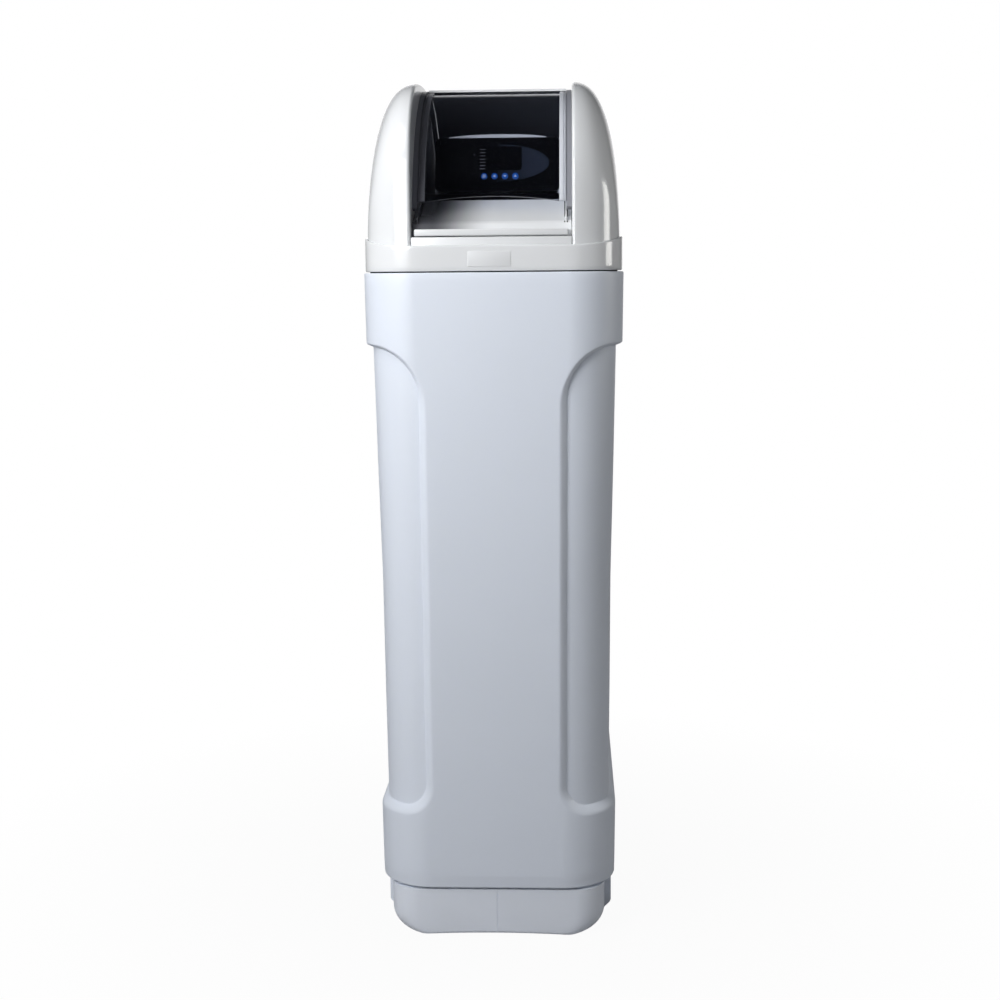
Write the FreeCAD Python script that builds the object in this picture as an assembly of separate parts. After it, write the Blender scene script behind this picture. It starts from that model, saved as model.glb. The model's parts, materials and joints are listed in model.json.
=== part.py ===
import FreeCAD, Part
import os
from math import asin, cos, hypot, pi, radians, sin, sqrt

# Cabinet water filter: a softener tank with its control valve in a moulded cabinet, under a lid with
# a curved smoked cover. Millimetres, +Z up, front at -Y, origin on the floor below the middle.

# Cabinet body
body_height = 864.0
body_half_width_top = 165.7
body_half_depth_top = 248.5
body_side_draft = 10.7
body_front_draft = 8.5
body_corner_radius = 70.0
body_wall = 3.2
rim_wall = 4.0
rim_band_height = 86.0
rim_band_drop = 2.6
mouth_height = 72.0
core_side_insets = [9.5, 10.0, 11.0, 9.5, 8.5]
core_inset_front = 9.0
panel_half_width = 91.5
recess_bottom = 179.0
recess_top_radius = 55.0
recess_bottom_radius = 38.0
plinth_height = 65.0
plinth_side_inset = 4.0
plinth_front_side_inset = 14.0
plinth_front_depth = 90.0
plinth_front_setback = 4.0
plinth_corner_radius = 34.0
plinth_plan_radius = 40.0
plinth_bevel = 12.0
floor_thickness = 6.0
floor_corner_radius = 26.0
pad_height = 2.0
pad_radius = 14.0
hose_bay_half_width = 75.0
hose_bay_depth = 30.0
hose_bay_bottom = 600.0
port_notch_margin = 6.0
port_notch_rise = 68.0

# Lid ring
ring_set_in = 1.7
ring_seam = 0.4
ring_corner_inset = 1.0
ring_height = 44.0
ring_front_drop = 11.0
ring_front_slope_length = 60.0
ring_lip = 3.1
ring_ledge_height = 16.0
ring_ledge_width = 13.0
ring_spigot_depth = 12.0
ring_spigot_wall = 3.0
spigot_clearance = 0.5

# Cheeks of the lid
cheek_inner_x = 100.0
cheek_side_gap = 0.3
cheek_end_inset = 5.8
cheek_rise = 251.0
cheek_profile_rise = 36.0
cheek_profile_power = 2.55
cheek_shoulder_share = 0.56
cheek_crown_share = 0.16
cheek_wall = 3.0
cheek_rim_round = 4.5
seat_gap = 0.3

# Curved cover, its guides and the rear hood, about one axis across the lid
axis_lift = 20.0
pane_outer_radius = 220.2
pane_thickness = 2.4
cover_low_angle = 18.0
cover_high_angle = 87.5
cover_travel_angle = 66.0
pane_arch_rise = 6.5
runner_width = 8.5
runner_side_gap = 0.8
runner_height = 2.2
tongue_reach = 3.8
running_gap = 0.5
rail_width = 6.2
rail_seat_gap = 0.2
rail_flange = 3.8
rail_base = 2.5
rail_low_angle = 15.5
rail_high_angle = 165.0
hood_gap = 0.8
hood_side_gap = 0.3
hood_wall = 2.8
hood_front_angle = 84.0
hood_rear_angle = 176.0

# Front tray and bar
tray_set_back = 6.8
tray_sill_rise = 43.5
tray_sill_depth = 8.0
tray_fold_back = 18.0
tray_fold_rise = 19.5
tray_fold_ease = 4.0
tray_slope_depth = 106.0
tray_slope_rise = 39.0
tray_wall = 3.0
tray_rear_lip = 12.0
tray_rear_lip_wall = 2.0
tray_foot_depth = 12.0
tray_side_gap = 0.6
tray_fence_inset = 7.8
tray_fence_crest_back = 16.0
tray_fence_crest_rise = 13.0
tray_fence_rear_rise = 2.0
tray_fence_wall = 2.0
bar_side_gap = 4.5
bar_height = 9.4
bar_depth = 7.6
bar_round = 1.6
bar_overhang = 1.0

# Blank plate on the ring
plate_centre_x = -2.4
plate_width = 54.0
plate_height = 19.0
plate_thickness = 0.8
plate_proud = 0.6
plate_gap = 0.3
plate_corner = 1.2
plate_rise = 16.0

# Pressure tank and what is in it
tank_y = 50.0
tank_radius = 115.0
tank_wall = 4.0
tank_foot_height = 12.0
tank_dome_height = 62.0
tank_neck_radius = 38.0
tank_neck_height = 30.0
tank_neck_drop = 22.0
boot_height = 105.0
boot_wall = 3.0
riser_radius = 13.5
riser_wall = 1.5
strainer_radius = 22.0
strainer_height = 60.0
strainer_ring_pitch = 6.0
strainer_ring_width = 2.0
resin_top = 560.0
top_basket_radius = 24.0
top_basket_height = 30.0

# Control valve
collar_radius = 52.0
collar_drop = 20.0
collar_grips = 12
collar_grip_radius = 5.0
seal_height = 2.0
valve_half_width = 48.0
valve_front_reach = 65.0
valve_rear_reach = 62.0
valve_height = 103.0
valve_foot_height = 26.0
valve_block_lift = 20.0
valve_corner = 10.0
chamber_depth = 22.0
chamber_overhang = 8.0
port_spacing = 62.0
port_radius = 16.6
port_bore = 12.0
port_rise = 55.0
port_bore_depth = 40.0
side_port_rise = 8.0
port_reach = 28.0
bypass_front_gap = 0.4
bypass_length = 56.0
bypass_height = 38.0
bypass_half_width = 54.0
bypass_corner = 12.0
hose_thread_length = 36.0
knob_radius = 17.0
knob_height = 20.0
knob_stem_radius = 6.0
knob_stem_clearance = 0.08
drain_radius = 8.0
drain_length = 24.0
drain_wall = 3.0
brine_port_set = 40.0
brine_port_length = 14.0

# Drive of the valve disc
module_size = 1.5
gear_teeth = 56
pinion_teeth = 12
gear_thickness = 8.0
gear_lift = 10.0
gear_hub_radius = 14.0
gear_window_radius = 7.0
gear_window_circle = 25.0
spindle_radius = 7.0
spindle_clearance = 0.08
spindle_depth = 28.0
spindle_end_gap = 0.3
base_plate_thickness = 4.0
base_plate_gap = 0.3
motor_radius = 25.0
motor_height = 22.0
motor_shaft_radius = 2.5
bracket_thickness = 2.0
bracket_half_width = 34.0
bracket_clearance = 3.5

# Control head
screw_radius = 2.0
screw_length = 14.0
screw_head_height = 2.4
screw_side = 38.0
screw_front_inset = 15.0
screw_rear_inset = 24.0
head_side_step = 0.5
head_centre_x = 2.6
head_crown_rise = 39.5
head_side_drop = 7.0
head_rear_reach = 48.0
head_opening_side = 11.5
head_opening_low = 6.0
head_opening_high = 14.0
head_opening_depth = 20.0
head_wall = 2.5
fascia_width = 164.0
fascia_height = 72.0
fascia_thickness = 3.0
fascia_corner = 7.0
fascia_reach = 150.0
fascia_rise = 59.5
fascia_lean = 15.7
bezel_half_length = 68.0
bezel_half_height = 25.2
bezel_thickness = 1.0
bezel_rise = 1.3
window_width = 57.0
window_height = 32.2
window_corner = 3.5
window_x = 6.0
window_rise = 7.35
window_proud = 0.2
window_lip = 2.0
button_radius = 4.0
button_clearance = 0.15
button_pitch = 13.65
button_centre_x = 5.7
button_drop = 17.1
button_proud = 1.6
button_travel = 0.8
switch_gap = 0.4
board_gap = 5.2
board_thickness = 1.6
switch_height = 1.6
switch_width = 6.0
board_half_width = 60.0
board_half_height = 28.0
post_radius = 3.0
post_inset = 4.0

# Brine side
well_x = -66.0
well_y = -160.0
well_radius = 42.0
well_wall = 3.0
well_top_drop = 74.0
well_slots = 6
well_slot_pitch = 12.0
well_slot_height = 4.0
well_slot_lift = 8.0
well_cap_height = 8.0
well_cap_skirt = 14.0
well_cap_clearance = 0.4
stem_radius = 6.0
stem_foot = 40.0
stem_drop = 38.0
stem_foot_radius = 20.0
stem_bridge_height = 6.0
stem_bridge_drop = 40.0
stem_bridge_width = 10.0
float_radius = 24.0
float_height = 46.0
float_rest_z = 300.0
float_clearance = 0.4
float_travel = 60.0
float_stop_gap = 0.3
float_stop_radius = 11.0
float_stop_thickness = 4.0
brine_tube_radius = 4.8
brine_tube_wall = 1.0
tube_exit_drop = 50.0
tube_socket_reach = 14.0
tube_low_run = 68.0
tube_climb_run = 16.0
tube_side_reach = 34.0
tube_port_drop = 45.0
tube_port_overlap = 10.0
tube_bends = [30.0, 40.0, 16.0]
grid_height = 62.0
grid_thickness = 5.0
grid_leg = 6.0
grid_pitch = 24.0
grid_slot = 10.0
overflow_rise = 100.0
overflow_radius = 10.0
overflow_wall = 4.0
overflow_reach = 14.0
barb_radius = 9.0
barb_length = 28.0
overflow_nut_height = 8.0
overflow_nut_radius = 17.0
gland_radius = 9.0
gland_x = 45.0
gland_drop = 107.0
gland_bore = 5.0

# Length of a cut that goes past the whole object
beyond = 1500.0

# Places and sizes that follow from the ones above
body_half_width_foot = body_half_width_top - body_side_draft
body_half_depth_foot = body_half_depth_top - body_front_draft
plinth_half_width = body_half_width_foot - plinth_side_inset
plinth_front_half_width = body_half_width_foot - plinth_front_side_inset
plinth_half_depth = body_half_depth_foot - plinth_front_setback
rim_bottom = body_height - rim_band_height
mouth_bottom = body_height - mouth_height
bay_face = body_half_depth_top - hose_bay_depth
ring_half_width = body_half_width_top - ring_set_in
ring_half_depth = body_half_depth_top - ring_set_in
ring_low = body_height + ring_seam
port_notch_half_width = hose_bay_half_width + port_notch_margin
port_notch_top = body_height + port_notch_rise
plate_centre_z = ring_low + plate_rise
cheek_base = ring_low + ring_ledge_height + seat_gap
cheek_half_width = ring_half_width - ring_lip - cheek_side_gap
cheek_half_depth = ring_half_depth - cheek_end_inset
cheek_plan_radius = body_corner_radius - ring_corner_inset - ring_lip
cheek_top = body_height + cheek_rise
cheek_profile_base = body_height + cheek_profile_rise
axis_height = body_height + axis_lift
rail_outer_x = cheek_inner_x - rail_seat_gap
rail_inner_x = rail_outer_x - rail_width
runner_outer_x = rail_inner_x - runner_side_gap
runner_inner_x = runner_outer_x - runner_width
hood_outer_radius = pane_outer_radius + runner_height + hood_gap + hood_wall
tray_front_y = tray_set_back - ring_half_depth
tray_sill_top = body_height + tray_sill_rise
tray_fold_y = tray_front_y + tray_fold_back
tray_fold_z = tray_sill_top + tray_fold_rise
tray_rear_y = tray_fold_y + tray_slope_depth
tray_rear_z = tray_fold_z + tray_slope_rise
tray_half_width = cheek_inner_x - tray_side_gap
tray_fence_x = tray_half_width - tray_fence_inset
bar_half_width = cheek_inner_x - bar_side_gap
tank_neck_top = body_height - tank_neck_drop
tank_dome_top = tank_neck_top - tank_neck_height
tank_shoulder_z = tank_dome_top - tank_dome_height
tank_low = floor_thickness + tank_foot_height
strainer_low = tank_low + tank_wall + 4.0
valve_base_z = tank_neck_top
valve_top = valve_base_z + valve_height
valve_front_y = tank_y - valve_front_reach
valve_rear_y = tank_y + valve_rear_reach
port_z = valve_base_z + port_rise
side_port_z = port_z + side_port_rise
brine_port_y = tank_y - brine_port_set
bypass_front = valve_rear_y + port_reach + bypass_front_gap
bypass_rear = bypass_front + bypass_length
knob_y = bypass_front + bypass_length / 2
gear_bottom = valve_top + gear_lift
gear_top = gear_bottom + gear_thickness
pinion_y = tank_y - module_size * (gear_teeth + pinion_teeth) / 2
bracket_bottom = gear_top + bracket_clearance
bracket_top = bracket_bottom + bracket_thickness
head_floor = valve_top + base_plate_gap + base_plate_thickness
head_half_width = fascia_width / 2 - head_side_step
head_opening_half_width = head_half_width - head_opening_side
head_rear_y = tank_y + head_rear_reach
fascia_centre_y = tank_y - fascia_reach
fascia_centre_z = valve_top + fascia_rise
head_top = fascia_centre_z + head_crown_rise
button_xs = [button_centre_x - head_centre_x + (i - 1.5) * button_pitch for i in range(4)]
screw_places = [(side * screw_side, y) for side in (-1, 1)
                for y in (valve_front_y + screw_front_inset, valve_rear_y - screw_rear_inset)]
well_height = body_height - well_top_drop
stem_top = well_height - stem_drop
tube_exit_z = well_height - tube_exit_drop
overflow_z = hose_bay_bottom + overflow_rise
gland_z = port_z - gland_drop


def vec(x, y, z):
    return FreeCAD.Vector(x, y, z)


def box(x0, x1, y0, y1, z0, z1):
    return Part.makeBox(x1 - x0, y1 - y0, z1 - z0, vec(x0, y0, z0))


def upright(x, y, z0, z1, radius):
    return Part.makeCylinder(radius, z1 - z0, vec(x, y, z0), vec(0, 0, 1))


def along_y(x, z, y0, y1, radius):
    return Part.makeCylinder(radius, y1 - y0, vec(x, y0, z), vec(0, 1, 0))


def along_x(y, z, x0, x1, radius):
    return Part.makeCylinder(radius, x1 - x0, vec(x0, y, z), vec(1, 0, 0))


def mirrored_x(shape):
    return shape.mirror(vec(0, 0, 0), vec(1, 0, 0))


# A rounded rectangle in plan, as one closed wire.
def plan_wire(half_x, half_y, radius, z, centre_y=0.0):
    corners = []
    for sx, sy, start in ((1, 1, 0), (-1, 1, 90), (-1, -1, 180), (1, -1, 270)):
        cx = sx * (half_x - radius)
        cy = centre_y + sy * (half_y - radius)
        circle = Part.Circle(vec(cx, cy, z), vec(0, 0, 1), radius)
        corners.append(Part.Arc(circle, radians(start), radians(start + 90)).toShape())
    edges = []
    for i in range(4):
        here = corners[i]
        after = corners[(i + 1) % 4]
        edges.append(here)
        edges.append(Part.makeLine(here.valueAt(here.LastParameter), after.valueAt(after.FirstParameter)))
    return Part.Wire(edges)


def plan_loft(sections, ruled=True):
    wires = [plan_wire(hx, hy, r, z) for hx, hy, r, z in sections]
    return Part.makeLoft(wires, True, ruled)


# A closed outline of (y, z) points, pushed along X.
def across(points, x0, x1):
    loop = [vec(x0, y, z) for y, z in points]
    face = Part.Face(Part.makePolygon(loop + [loop[0]]))
    return face.extrude(vec(x1 - x0, 0, 0))


# A band about the cover's axis: angle 0 points to the front, 90 straight up.
def arc_band(x0, x1, r0, r1, low, high):
    face = Part.Face(Part.makePolygon([vec(x0, -r0, axis_height), vec(x1, -r0, axis_height),
                                       vec(x1, -r1, axis_height), vec(x0, -r1, axis_height),
                                       vec(x0, -r0, axis_height)]))
    start = face.rotated(vec(0, 0, axis_height), vec(1, 0, 0), -low)
    return start.revolve(vec(0, 0, axis_height), vec(1, 0, 0), -(high - low))


def envelope_section(z):
    share = (z - plinth_height) / (body_height - plinth_height)
    half_x = body_half_width_foot + share * (body_half_width_top - body_half_width_foot)
    half_y = body_half_depth_foot + share * (body_half_depth_top - body_half_depth_foot)
    return half_x, half_y


def core_sections(inset):
    count = len(core_side_insets)
    sections = []
    for i, side_inset in enumerate(core_side_insets):
        z = recess_bottom + (rim_bottom - recess_bottom) * i / (count - 1)
        half_x, half_y = envelope_section(z)
        radius = body_corner_radius - core_inset_front - inset
        sections.append((half_x - side_inset - inset, half_y - core_inset_front - inset, radius, z))
    return sections


def body_core():
    sections = core_sections(0.0)
    low = sections[0]
    high = sections[-1]
    foot = (low[0], low[1], low[2], recess_bottom - 20)
    head = (high[0], high[1], high[2], rim_bottom + 20)
    return plan_loft([foot] + sections + [head], False)


# The corner recess, seen from the front: from the panel's edge outwards, rounded at both ends.
def recess_cutter():
    x_in = panel_half_width
    x_out = body_half_width_top + 20
    top = rim_bottom
    low = recess_bottom
    rt = recess_top_radius
    rb = recess_bottom_radius
    front = -body_half_depth_top - 20
    k = sqrt(0.5)
    top_arc = Part.Arc(vec(x_in, front, top - rt), vec(x_in + rt * (1 - k), front, top - rt * (1 - k)),
                       vec(x_in + rt, front, top))
    low_arc = Part.Arc(vec(x_in + rb, front, low), vec(x_in + rb * (1 - k), front, low + rb * (1 - k)),
                       vec(x_in, front, low + rb))
    edges = [top_arc.toShape(),
             Part.makeLine(vec(x_in + rt, front, top), vec(x_out, front, top)),
             Part.makeLine(vec(x_out, front, top), vec(x_out, front, low)),
             Part.makeLine(vec(x_out, front, low), vec(x_in + rb, front, low)),
             low_arc.toShape(),
             Part.makeLine(vec(x_in, front, low + rb), vec(x_in, front, top - rt))]
    return Part.Face(Part.Wire(edges)).extrude(vec(0, -2 * front, 0))


# The front foot's outline in the front view, with its two big lower corners.
def foot_outline(half_x, radius, y0, y1):
    k = sqrt(0.5)
    r = radius
    top = plinth_height + 1
    eased = half_x - r * (1 - k)
    left = Part.Arc(vec(-half_x, y0, r), vec(-eased, y0, r * (1 - k)), vec(-half_x + r, y0, 0))
    right = Part.Arc(vec(half_x - r, y0, 0), vec(eased, y0, r * (1 - k)), vec(half_x, y0, r))
    edges = [left.toShape(),
             Part.makeLine(vec(-half_x + r, y0, 0), vec(half_x - r, y0, 0)),
             right.toShape(),
             Part.makeLine(vec(half_x, y0, r), vec(half_x, y0, top)),
             Part.makeLine(vec(half_x, y0, top), vec(-half_x, y0, top)),
             Part.makeLine(vec(-half_x, y0, top), vec(-half_x, y0, r))]
    return Part.Face(Part.Wire(edges)).extrude(vec(0, y1 - y0, 0))


def plinth():
    half_y = plinth_half_depth
    step_y = plinth_front_depth - half_y
    front = foot_outline(plinth_front_half_width, plinth_corner_radius, -half_y, step_y)
    rear_plan = plan_loft([(plinth_half_width - plinth_bevel, half_y - plinth_bevel, plinth_plan_radius, 0),
                           (plinth_half_width, half_y, plinth_plan_radius, plinth_bevel),
                           (plinth_half_width, half_y, plinth_plan_radius, plinth_height + 1)])
    rear = rear_plan.common(box(-beyond, beyond, step_y, beyond, -1, plinth_height + 2))
    rounded = plan_loft([(plinth_front_half_width, half_y, plinth_plan_radius, -1),
                         (plinth_front_half_width, half_y, plinth_plan_radius, plinth_height + 2)])
    return front.common(rounded).fuse(rear)


def cavity():
    sections = core_sections(body_wall)
    low = sections[0]
    high = sections[-1]
    half_y = plinth_half_depth
    main = plan_loft([(low[0], low[1], low[2], plinth_height + body_wall)] + sections
                     + [(high[0], high[1], high[2], mouth_bottom + 1)], False)
    mouth_x = body_half_width_top - rim_wall
    mouth_y = body_half_depth_top - rim_wall
    mouth_radius = body_corner_radius - rim_wall
    mouth = plan_loft([(mouth_x - rim_band_drop, mouth_y - rim_band_drop, mouth_radius, mouth_bottom),
                       (mouth_x, mouth_y, mouth_radius, body_height + 1)])
    inner_x = plinth_front_half_width - body_wall
    pit = foot_outline(inner_x, floor_corner_radius, body_wall - half_y, half_y - body_wall)
    pit_plan = plan_loft([(inner_x, half_y - body_wall, plinth_plan_radius, 0),
                          (inner_x, half_y - body_wall, plinth_plan_radius, plinth_height + body_wall + 2)])
    square_y = plinth_front_depth - half_y + body_wall
    square = box(-inner_x, inner_x, square_y, half_y - plinth_plan_radius, 0, plinth_height)
    pit = pit.common(pit_plan).fuse(square)
    pit.translate(vec(0, 0, floor_thickness))
    return main.fuse([mouth, pit])


def hose_bay(grow):
    rear = body_half_depth_top + 20
    front = body_half_depth_top - hose_bay_depth - grow
    return box(-hose_bay_half_width - grow, hose_bay_half_width + grow, front, rear,
               hose_bay_bottom - grow, body_height + 2)


def cabinet_body():
    z_values = [plinth_height, body_height]
    sections = []
    for z in z_values:
        half_x, half_y = envelope_section(z)
        sections.append((half_x, half_y, body_corner_radius, z))
    envelope = plan_loft(sections)
    cutter = recess_cutter()
    side_cuts = cutter.fuse(mirrored_x(cutter)).cut(body_core())
    solid = envelope.cut(side_cuts).fuse(plinth())
    hollow = cavity().cut(hose_bay(body_wall))
    solid = solid.cut(hollow).cut(hose_bay(0.0))
    inside_y = bay_face - hose_bay_depth
    overflow = along_y(0, overflow_z, inside_y, beyond, overflow_radius + running_gap)
    gland = along_y(gland_x, gland_z, inside_y, beyond, gland_radius + seat_gap)
    return solid.cut([overflow, gland]).removeSplitter()


def foot_pads():
    pads = []
    for sx in (-1, 1):
        for sy in (-1, 1):
            x = sx * (plinth_front_half_width - plinth_corner_radius - pad_radius)
            y = sy * (plinth_half_depth - plinth_plan_radius)
            pads.append(upright(x, y, -pad_height, 0, pad_radius))
    return Part.makeCompound(pads)


def ring_wedge():
    slope_end = ring_front_slope_length - ring_half_depth
    top = body_height + ring_height
    front = -ring_half_depth - 1
    outline = [(front, top - ring_front_drop), (slope_end, top), (slope_end, top + 5), (front, top + 5)]
    return across(outline, -ring_half_width - 1, ring_half_width + 1)


def lid_ring():
    low = ring_low
    top = body_height + ring_height
    ledge = low + ring_ledge_height
    r = body_corner_radius - ring_corner_inset
    socket_x = ring_half_width - ring_lip
    socket_y = ring_half_depth - ring_lip
    rl = r - ring_lip
    outer = plan_loft([(ring_half_width, ring_half_depth, r, low),
                       (ring_half_width, ring_half_depth, r, top)])
    socket = plan_loft([(socket_x, socket_y, rl, ledge), (socket_x, socket_y, rl, top + 1)])
    w = ring_ledge_width
    well = plan_loft([(ring_half_width - w, ring_half_depth - w, r - w, low - ring_spigot_depth - 1),
                      (ring_half_width - w, ring_half_depth - w, r - w, ledge + 1)])
    narrowing = rim_band_drop * ring_spigot_depth / mouth_height
    mouth_x = body_half_width_top - rim_wall - spigot_clearance - narrowing
    mouth_y = mouth_x - body_half_width_top + body_half_depth_top
    rs = body_corner_radius - rim_wall - spigot_clearance
    spigot = plan_loft([(mouth_x, mouth_y, rs, low - ring_spigot_depth), (mouth_x, mouth_y, rs, low + 1)])
    t = ring_spigot_wall
    bore = plan_loft([(mouth_x - t, mouth_y - t, rs - t, low - ring_spigot_depth - 1),
                      (mouth_x - t, mouth_y - t, rs - t, low)])
    solid = outer.cut(socket).cut(ring_wedge()).fuse(spigot).cut([well, bore])
    notch = box(-port_notch_half_width, port_notch_half_width, bay_face - 2 * port_notch_margin, beyond,
                low - ring_spigot_depth - 1, top + 1)
    plate_bed = across(plate_outline(), plate_centre_x - plate_width / 2, plate_centre_x + plate_width / 2)
    return solid.cut([notch, plate_bed]).removeSplitter()


# The shallow bed of the plate in the ring's front.
def plate_outline():
    front = -ring_half_depth - 1
    rear = -ring_half_depth + plate_thickness
    low = plate_centre_z - plate_height / 2
    high = plate_centre_z + plate_height / 2
    return [(front, low), (front, high), (rear, high), (rear, low)]


def blank_plate():
    front = -ring_half_depth
    half = plate_width / 2 - plate_gap
    low = plate_centre_z - plate_height / 2 + plate_gap
    high = plate_centre_z + plate_height / 2 - plate_gap
    plate = box(plate_centre_x - half, plate_centre_x + half, front - plate_proud, front + plate_thickness,
                low, high)
    edges = [e for e in plate.Edges if abs(e.Vertexes[0].Y - e.Vertexes[1].Y) > 1]
    return plate.makeFillet(plate_corner, edges)


# Half depth and height of the cheek's arch at one distance from the middle plane.
def cheek_arch(x, inset):
    span = cheek_half_width - cheek_inner_x
    share = min((x - cheek_inner_x) / span, 1.0)
    power = cheek_profile_power
    top = cheek_profile_base + (cheek_top - cheek_profile_base) * (1 - share ** power) ** (1 / power)
    centre = cheek_half_width - cheek_plan_radius
    depth = cheek_half_depth
    if x > centre:
        depth -= cheek_plan_radius - sqrt(max(cheek_plan_radius ** 2 - (x - centre) ** 2, 0))
    return depth - inset, top - cheek_base - inset


# The arch stands upright at both ends, turns in at two shoulder arcs and closes with one flat crown arc.
def arch_wire(x, half_depth, height):
    shoulder = cheek_shoulder_share * min(half_depth, height)
    crown = half_depth ** 2 / (2 * cheek_crown_share * height)
    reach = half_depth - shoulder
    centre_z = height - crown + sqrt((crown - shoulder) ** 2 - reach ** 2)
    meet = crown / (crown - shoulder)
    meet_y = reach * meet
    meet_z = height - crown + (centre_z - height + crown) * meet
    turn = (radians(180) - asin(reach / (crown - shoulder)) - radians(90)) / 2
    mid_y = reach + shoulder * cos(turn)
    mid_z = centre_z + shoulder * sin(turn)
    z = cheek_base
    foot_front = vec(x, -half_depth, z)
    foot_rear = vec(x, half_depth, z)
    low_front = vec(x, -half_depth, z + centre_z)
    low_rear = vec(x, half_depth, z + centre_z)
    meet_front = vec(x, -meet_y, z + meet_z)
    meet_rear = vec(x, meet_y, z + meet_z)
    edges = [Part.makeLine(foot_front, low_front),
             Part.Arc(low_front, vec(x, -mid_y, z + mid_z), meet_front).toShape(),
             Part.Arc(meet_front, vec(x, 0, z + height), meet_rear).toShape(),
             Part.Arc(meet_rear, vec(x, mid_y, z + mid_z), low_rear).toShape(),
             Part.makeLine(low_rear, foot_rear),
             Part.makeLine(foot_rear, foot_front)]
    return Part.Wire(edges)


def cheek_solid(shares, inset, first_inset):
    wires = []
    first = cheek_inner_x if inset == 0 else cheek_inner_x + cheek_wall
    for i, share in enumerate(shares):
        x = first + share * (cheek_half_width - inset - first)
        half_depth, height = cheek_arch(x, inset)
        if i == 0:
            half_depth -= first_inset
            height -= first_inset
        wires.append(arch_wire(x, half_depth, height))
    return Part.makeLoft(wires, True, True)


def right_cheek():
    outer_shares = [0.0, 0.02, 0.07, 0.2, 0.34, 0.47, 0.59, 0.7, 0.79, 0.87, 0.93, 0.97, 0.99, 1.0]
    inner_shares = [0.0, 0.2, 0.34, 0.47, 0.59, 0.7, 0.79, 0.87]
    outer = cheek_solid(outer_shares, 0.0, cheek_rim_round)
    inner = cheek_solid(inner_shares, cheek_wall, 0.0)
    floor_cut = inner.copy()
    floor_cut.translate(vec(0, 0, -cheek_wall))
    return outer.cut([inner, floor_cut])


def rear_hood():
    half = rail_inner_x - hood_side_gap
    shell = arc_band(-half, half, hood_outer_radius - hood_wall, hood_outer_radius, hood_front_angle,
                     hood_rear_angle)
    notch = box(-port_notch_half_width, port_notch_half_width, bay_face / 2, beyond, 0, port_notch_top)
    return shell.cut(notch)


def smoked_cover():
    pane = arc_band(-runner_inner_x + 0.05, runner_inner_x - 0.05, pane_outer_radius - pane_thickness,
                    pane_outer_radius, cover_low_angle, cover_high_angle)
    # The lower edge is arched: one wide cylinder across the front takes the middle away.
    half = runner_inner_x
    radius = (half ** 2 + pane_arch_rise ** 2) / (2 * pane_arch_rise)
    edge_z = axis_height + pane_outer_radius * sin(radians(cover_low_angle))
    arch_z = edge_z + pane_arch_rise - radius
    arch = Part.makeCylinder(radius, beyond, vec(0, -beyond, arch_z), vec(0, 1, 0))
    return pane.cut(arch)


def cover_runner():
    top = pane_outer_radius + runner_height
    strip = arc_band(runner_inner_x, runner_outer_x, pane_outer_radius - pane_thickness - 0.2, top,
                     cover_low_angle, cover_high_angle)
    tongue = arc_band(runner_outer_x - 0.5, runner_outer_x + tongue_reach, pane_outer_radius - pane_thickness,
                      pane_outer_radius, cover_low_angle, cover_high_angle)
    return strip.fuse(tongue)


def guide_rail():
    floor_r = pane_outer_radius - pane_thickness - running_gap
    roof_r = pane_outer_radius + running_gap
    base_x = rail_outer_x - rail_base
    low_r = floor_r - rail_flange
    high_r = roof_r + rail_flange
    base = arc_band(base_x, rail_outer_x, low_r, high_r, rail_low_angle, rail_high_angle)
    inner = arc_band(rail_inner_x, base_x + 0.5, low_r, floor_r, rail_low_angle, rail_high_angle)
    outer = arc_band(rail_inner_x, base_x + 0.5, roof_r, high_r, rail_low_angle, rail_high_angle)
    stop = arc_band(rail_inner_x, base_x + 0.5, low_r, high_r, rail_low_angle, cover_low_angle - 0.1)
    return base.fuse([inner, outer, stop])


def front_tray():
    slope = hypot(tray_rear_y - tray_fold_y, tray_rear_z - tray_fold_z)
    ny = tray_wall * (tray_rear_z - tray_fold_z) / slope
    nz = tray_wall * (tray_rear_y - tray_fold_y) / slope
    sill_rear = tray_front_y + tray_sill_depth
    base = cheek_base
    ease = tray_fold_ease
    lip_y = tray_rear_y - tray_rear_lip_wall
    outline = [(tray_front_y, base), (tray_front_y, tray_sill_top), (sill_rear, tray_sill_top),
               (tray_fold_y - ease, tray_fold_z - 0.75 * ease), (tray_fold_y, tray_fold_z),
               (tray_rear_y, tray_rear_z), (tray_rear_y, tray_rear_z - tray_rear_lip),
               (lip_y, tray_rear_z - tray_rear_lip), (lip_y, tray_rear_z - tray_rear_lip_wall - nz),
               (tray_fold_y + ny, tray_fold_z - nz), (sill_rear + ease / 2, tray_sill_top - 1.5 * ease),
               (tray_front_y + tray_wall, tray_sill_top - ease), (tray_front_y + tray_wall, base)]
    plate = across(outline, -tray_half_width, tray_half_width)
    foot = box(-tray_half_width, tray_half_width, tray_front_y, tray_front_y + tray_foot_depth, base,
               base + tray_wall)
    fence_outline = [(tray_fold_y - ease / 2, tray_fold_z - 0.75 * ease),
                     (tray_fold_y - 0.75 * ease, tray_fold_z + ease),
                     (tray_fold_y + tray_fence_crest_back, tray_fold_z + tray_fence_crest_rise),
                     (tray_rear_y, tray_rear_z + tray_fence_rear_rise), (tray_rear_y, tray_rear_z - ease)]
    left = across(fence_outline, -tray_fence_x - tray_fence_wall, -tray_fence_x)
    right = across(fence_outline, tray_fence_x, tray_fence_x + tray_fence_wall)
    return plate.fuse([foot, left, right])


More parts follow.
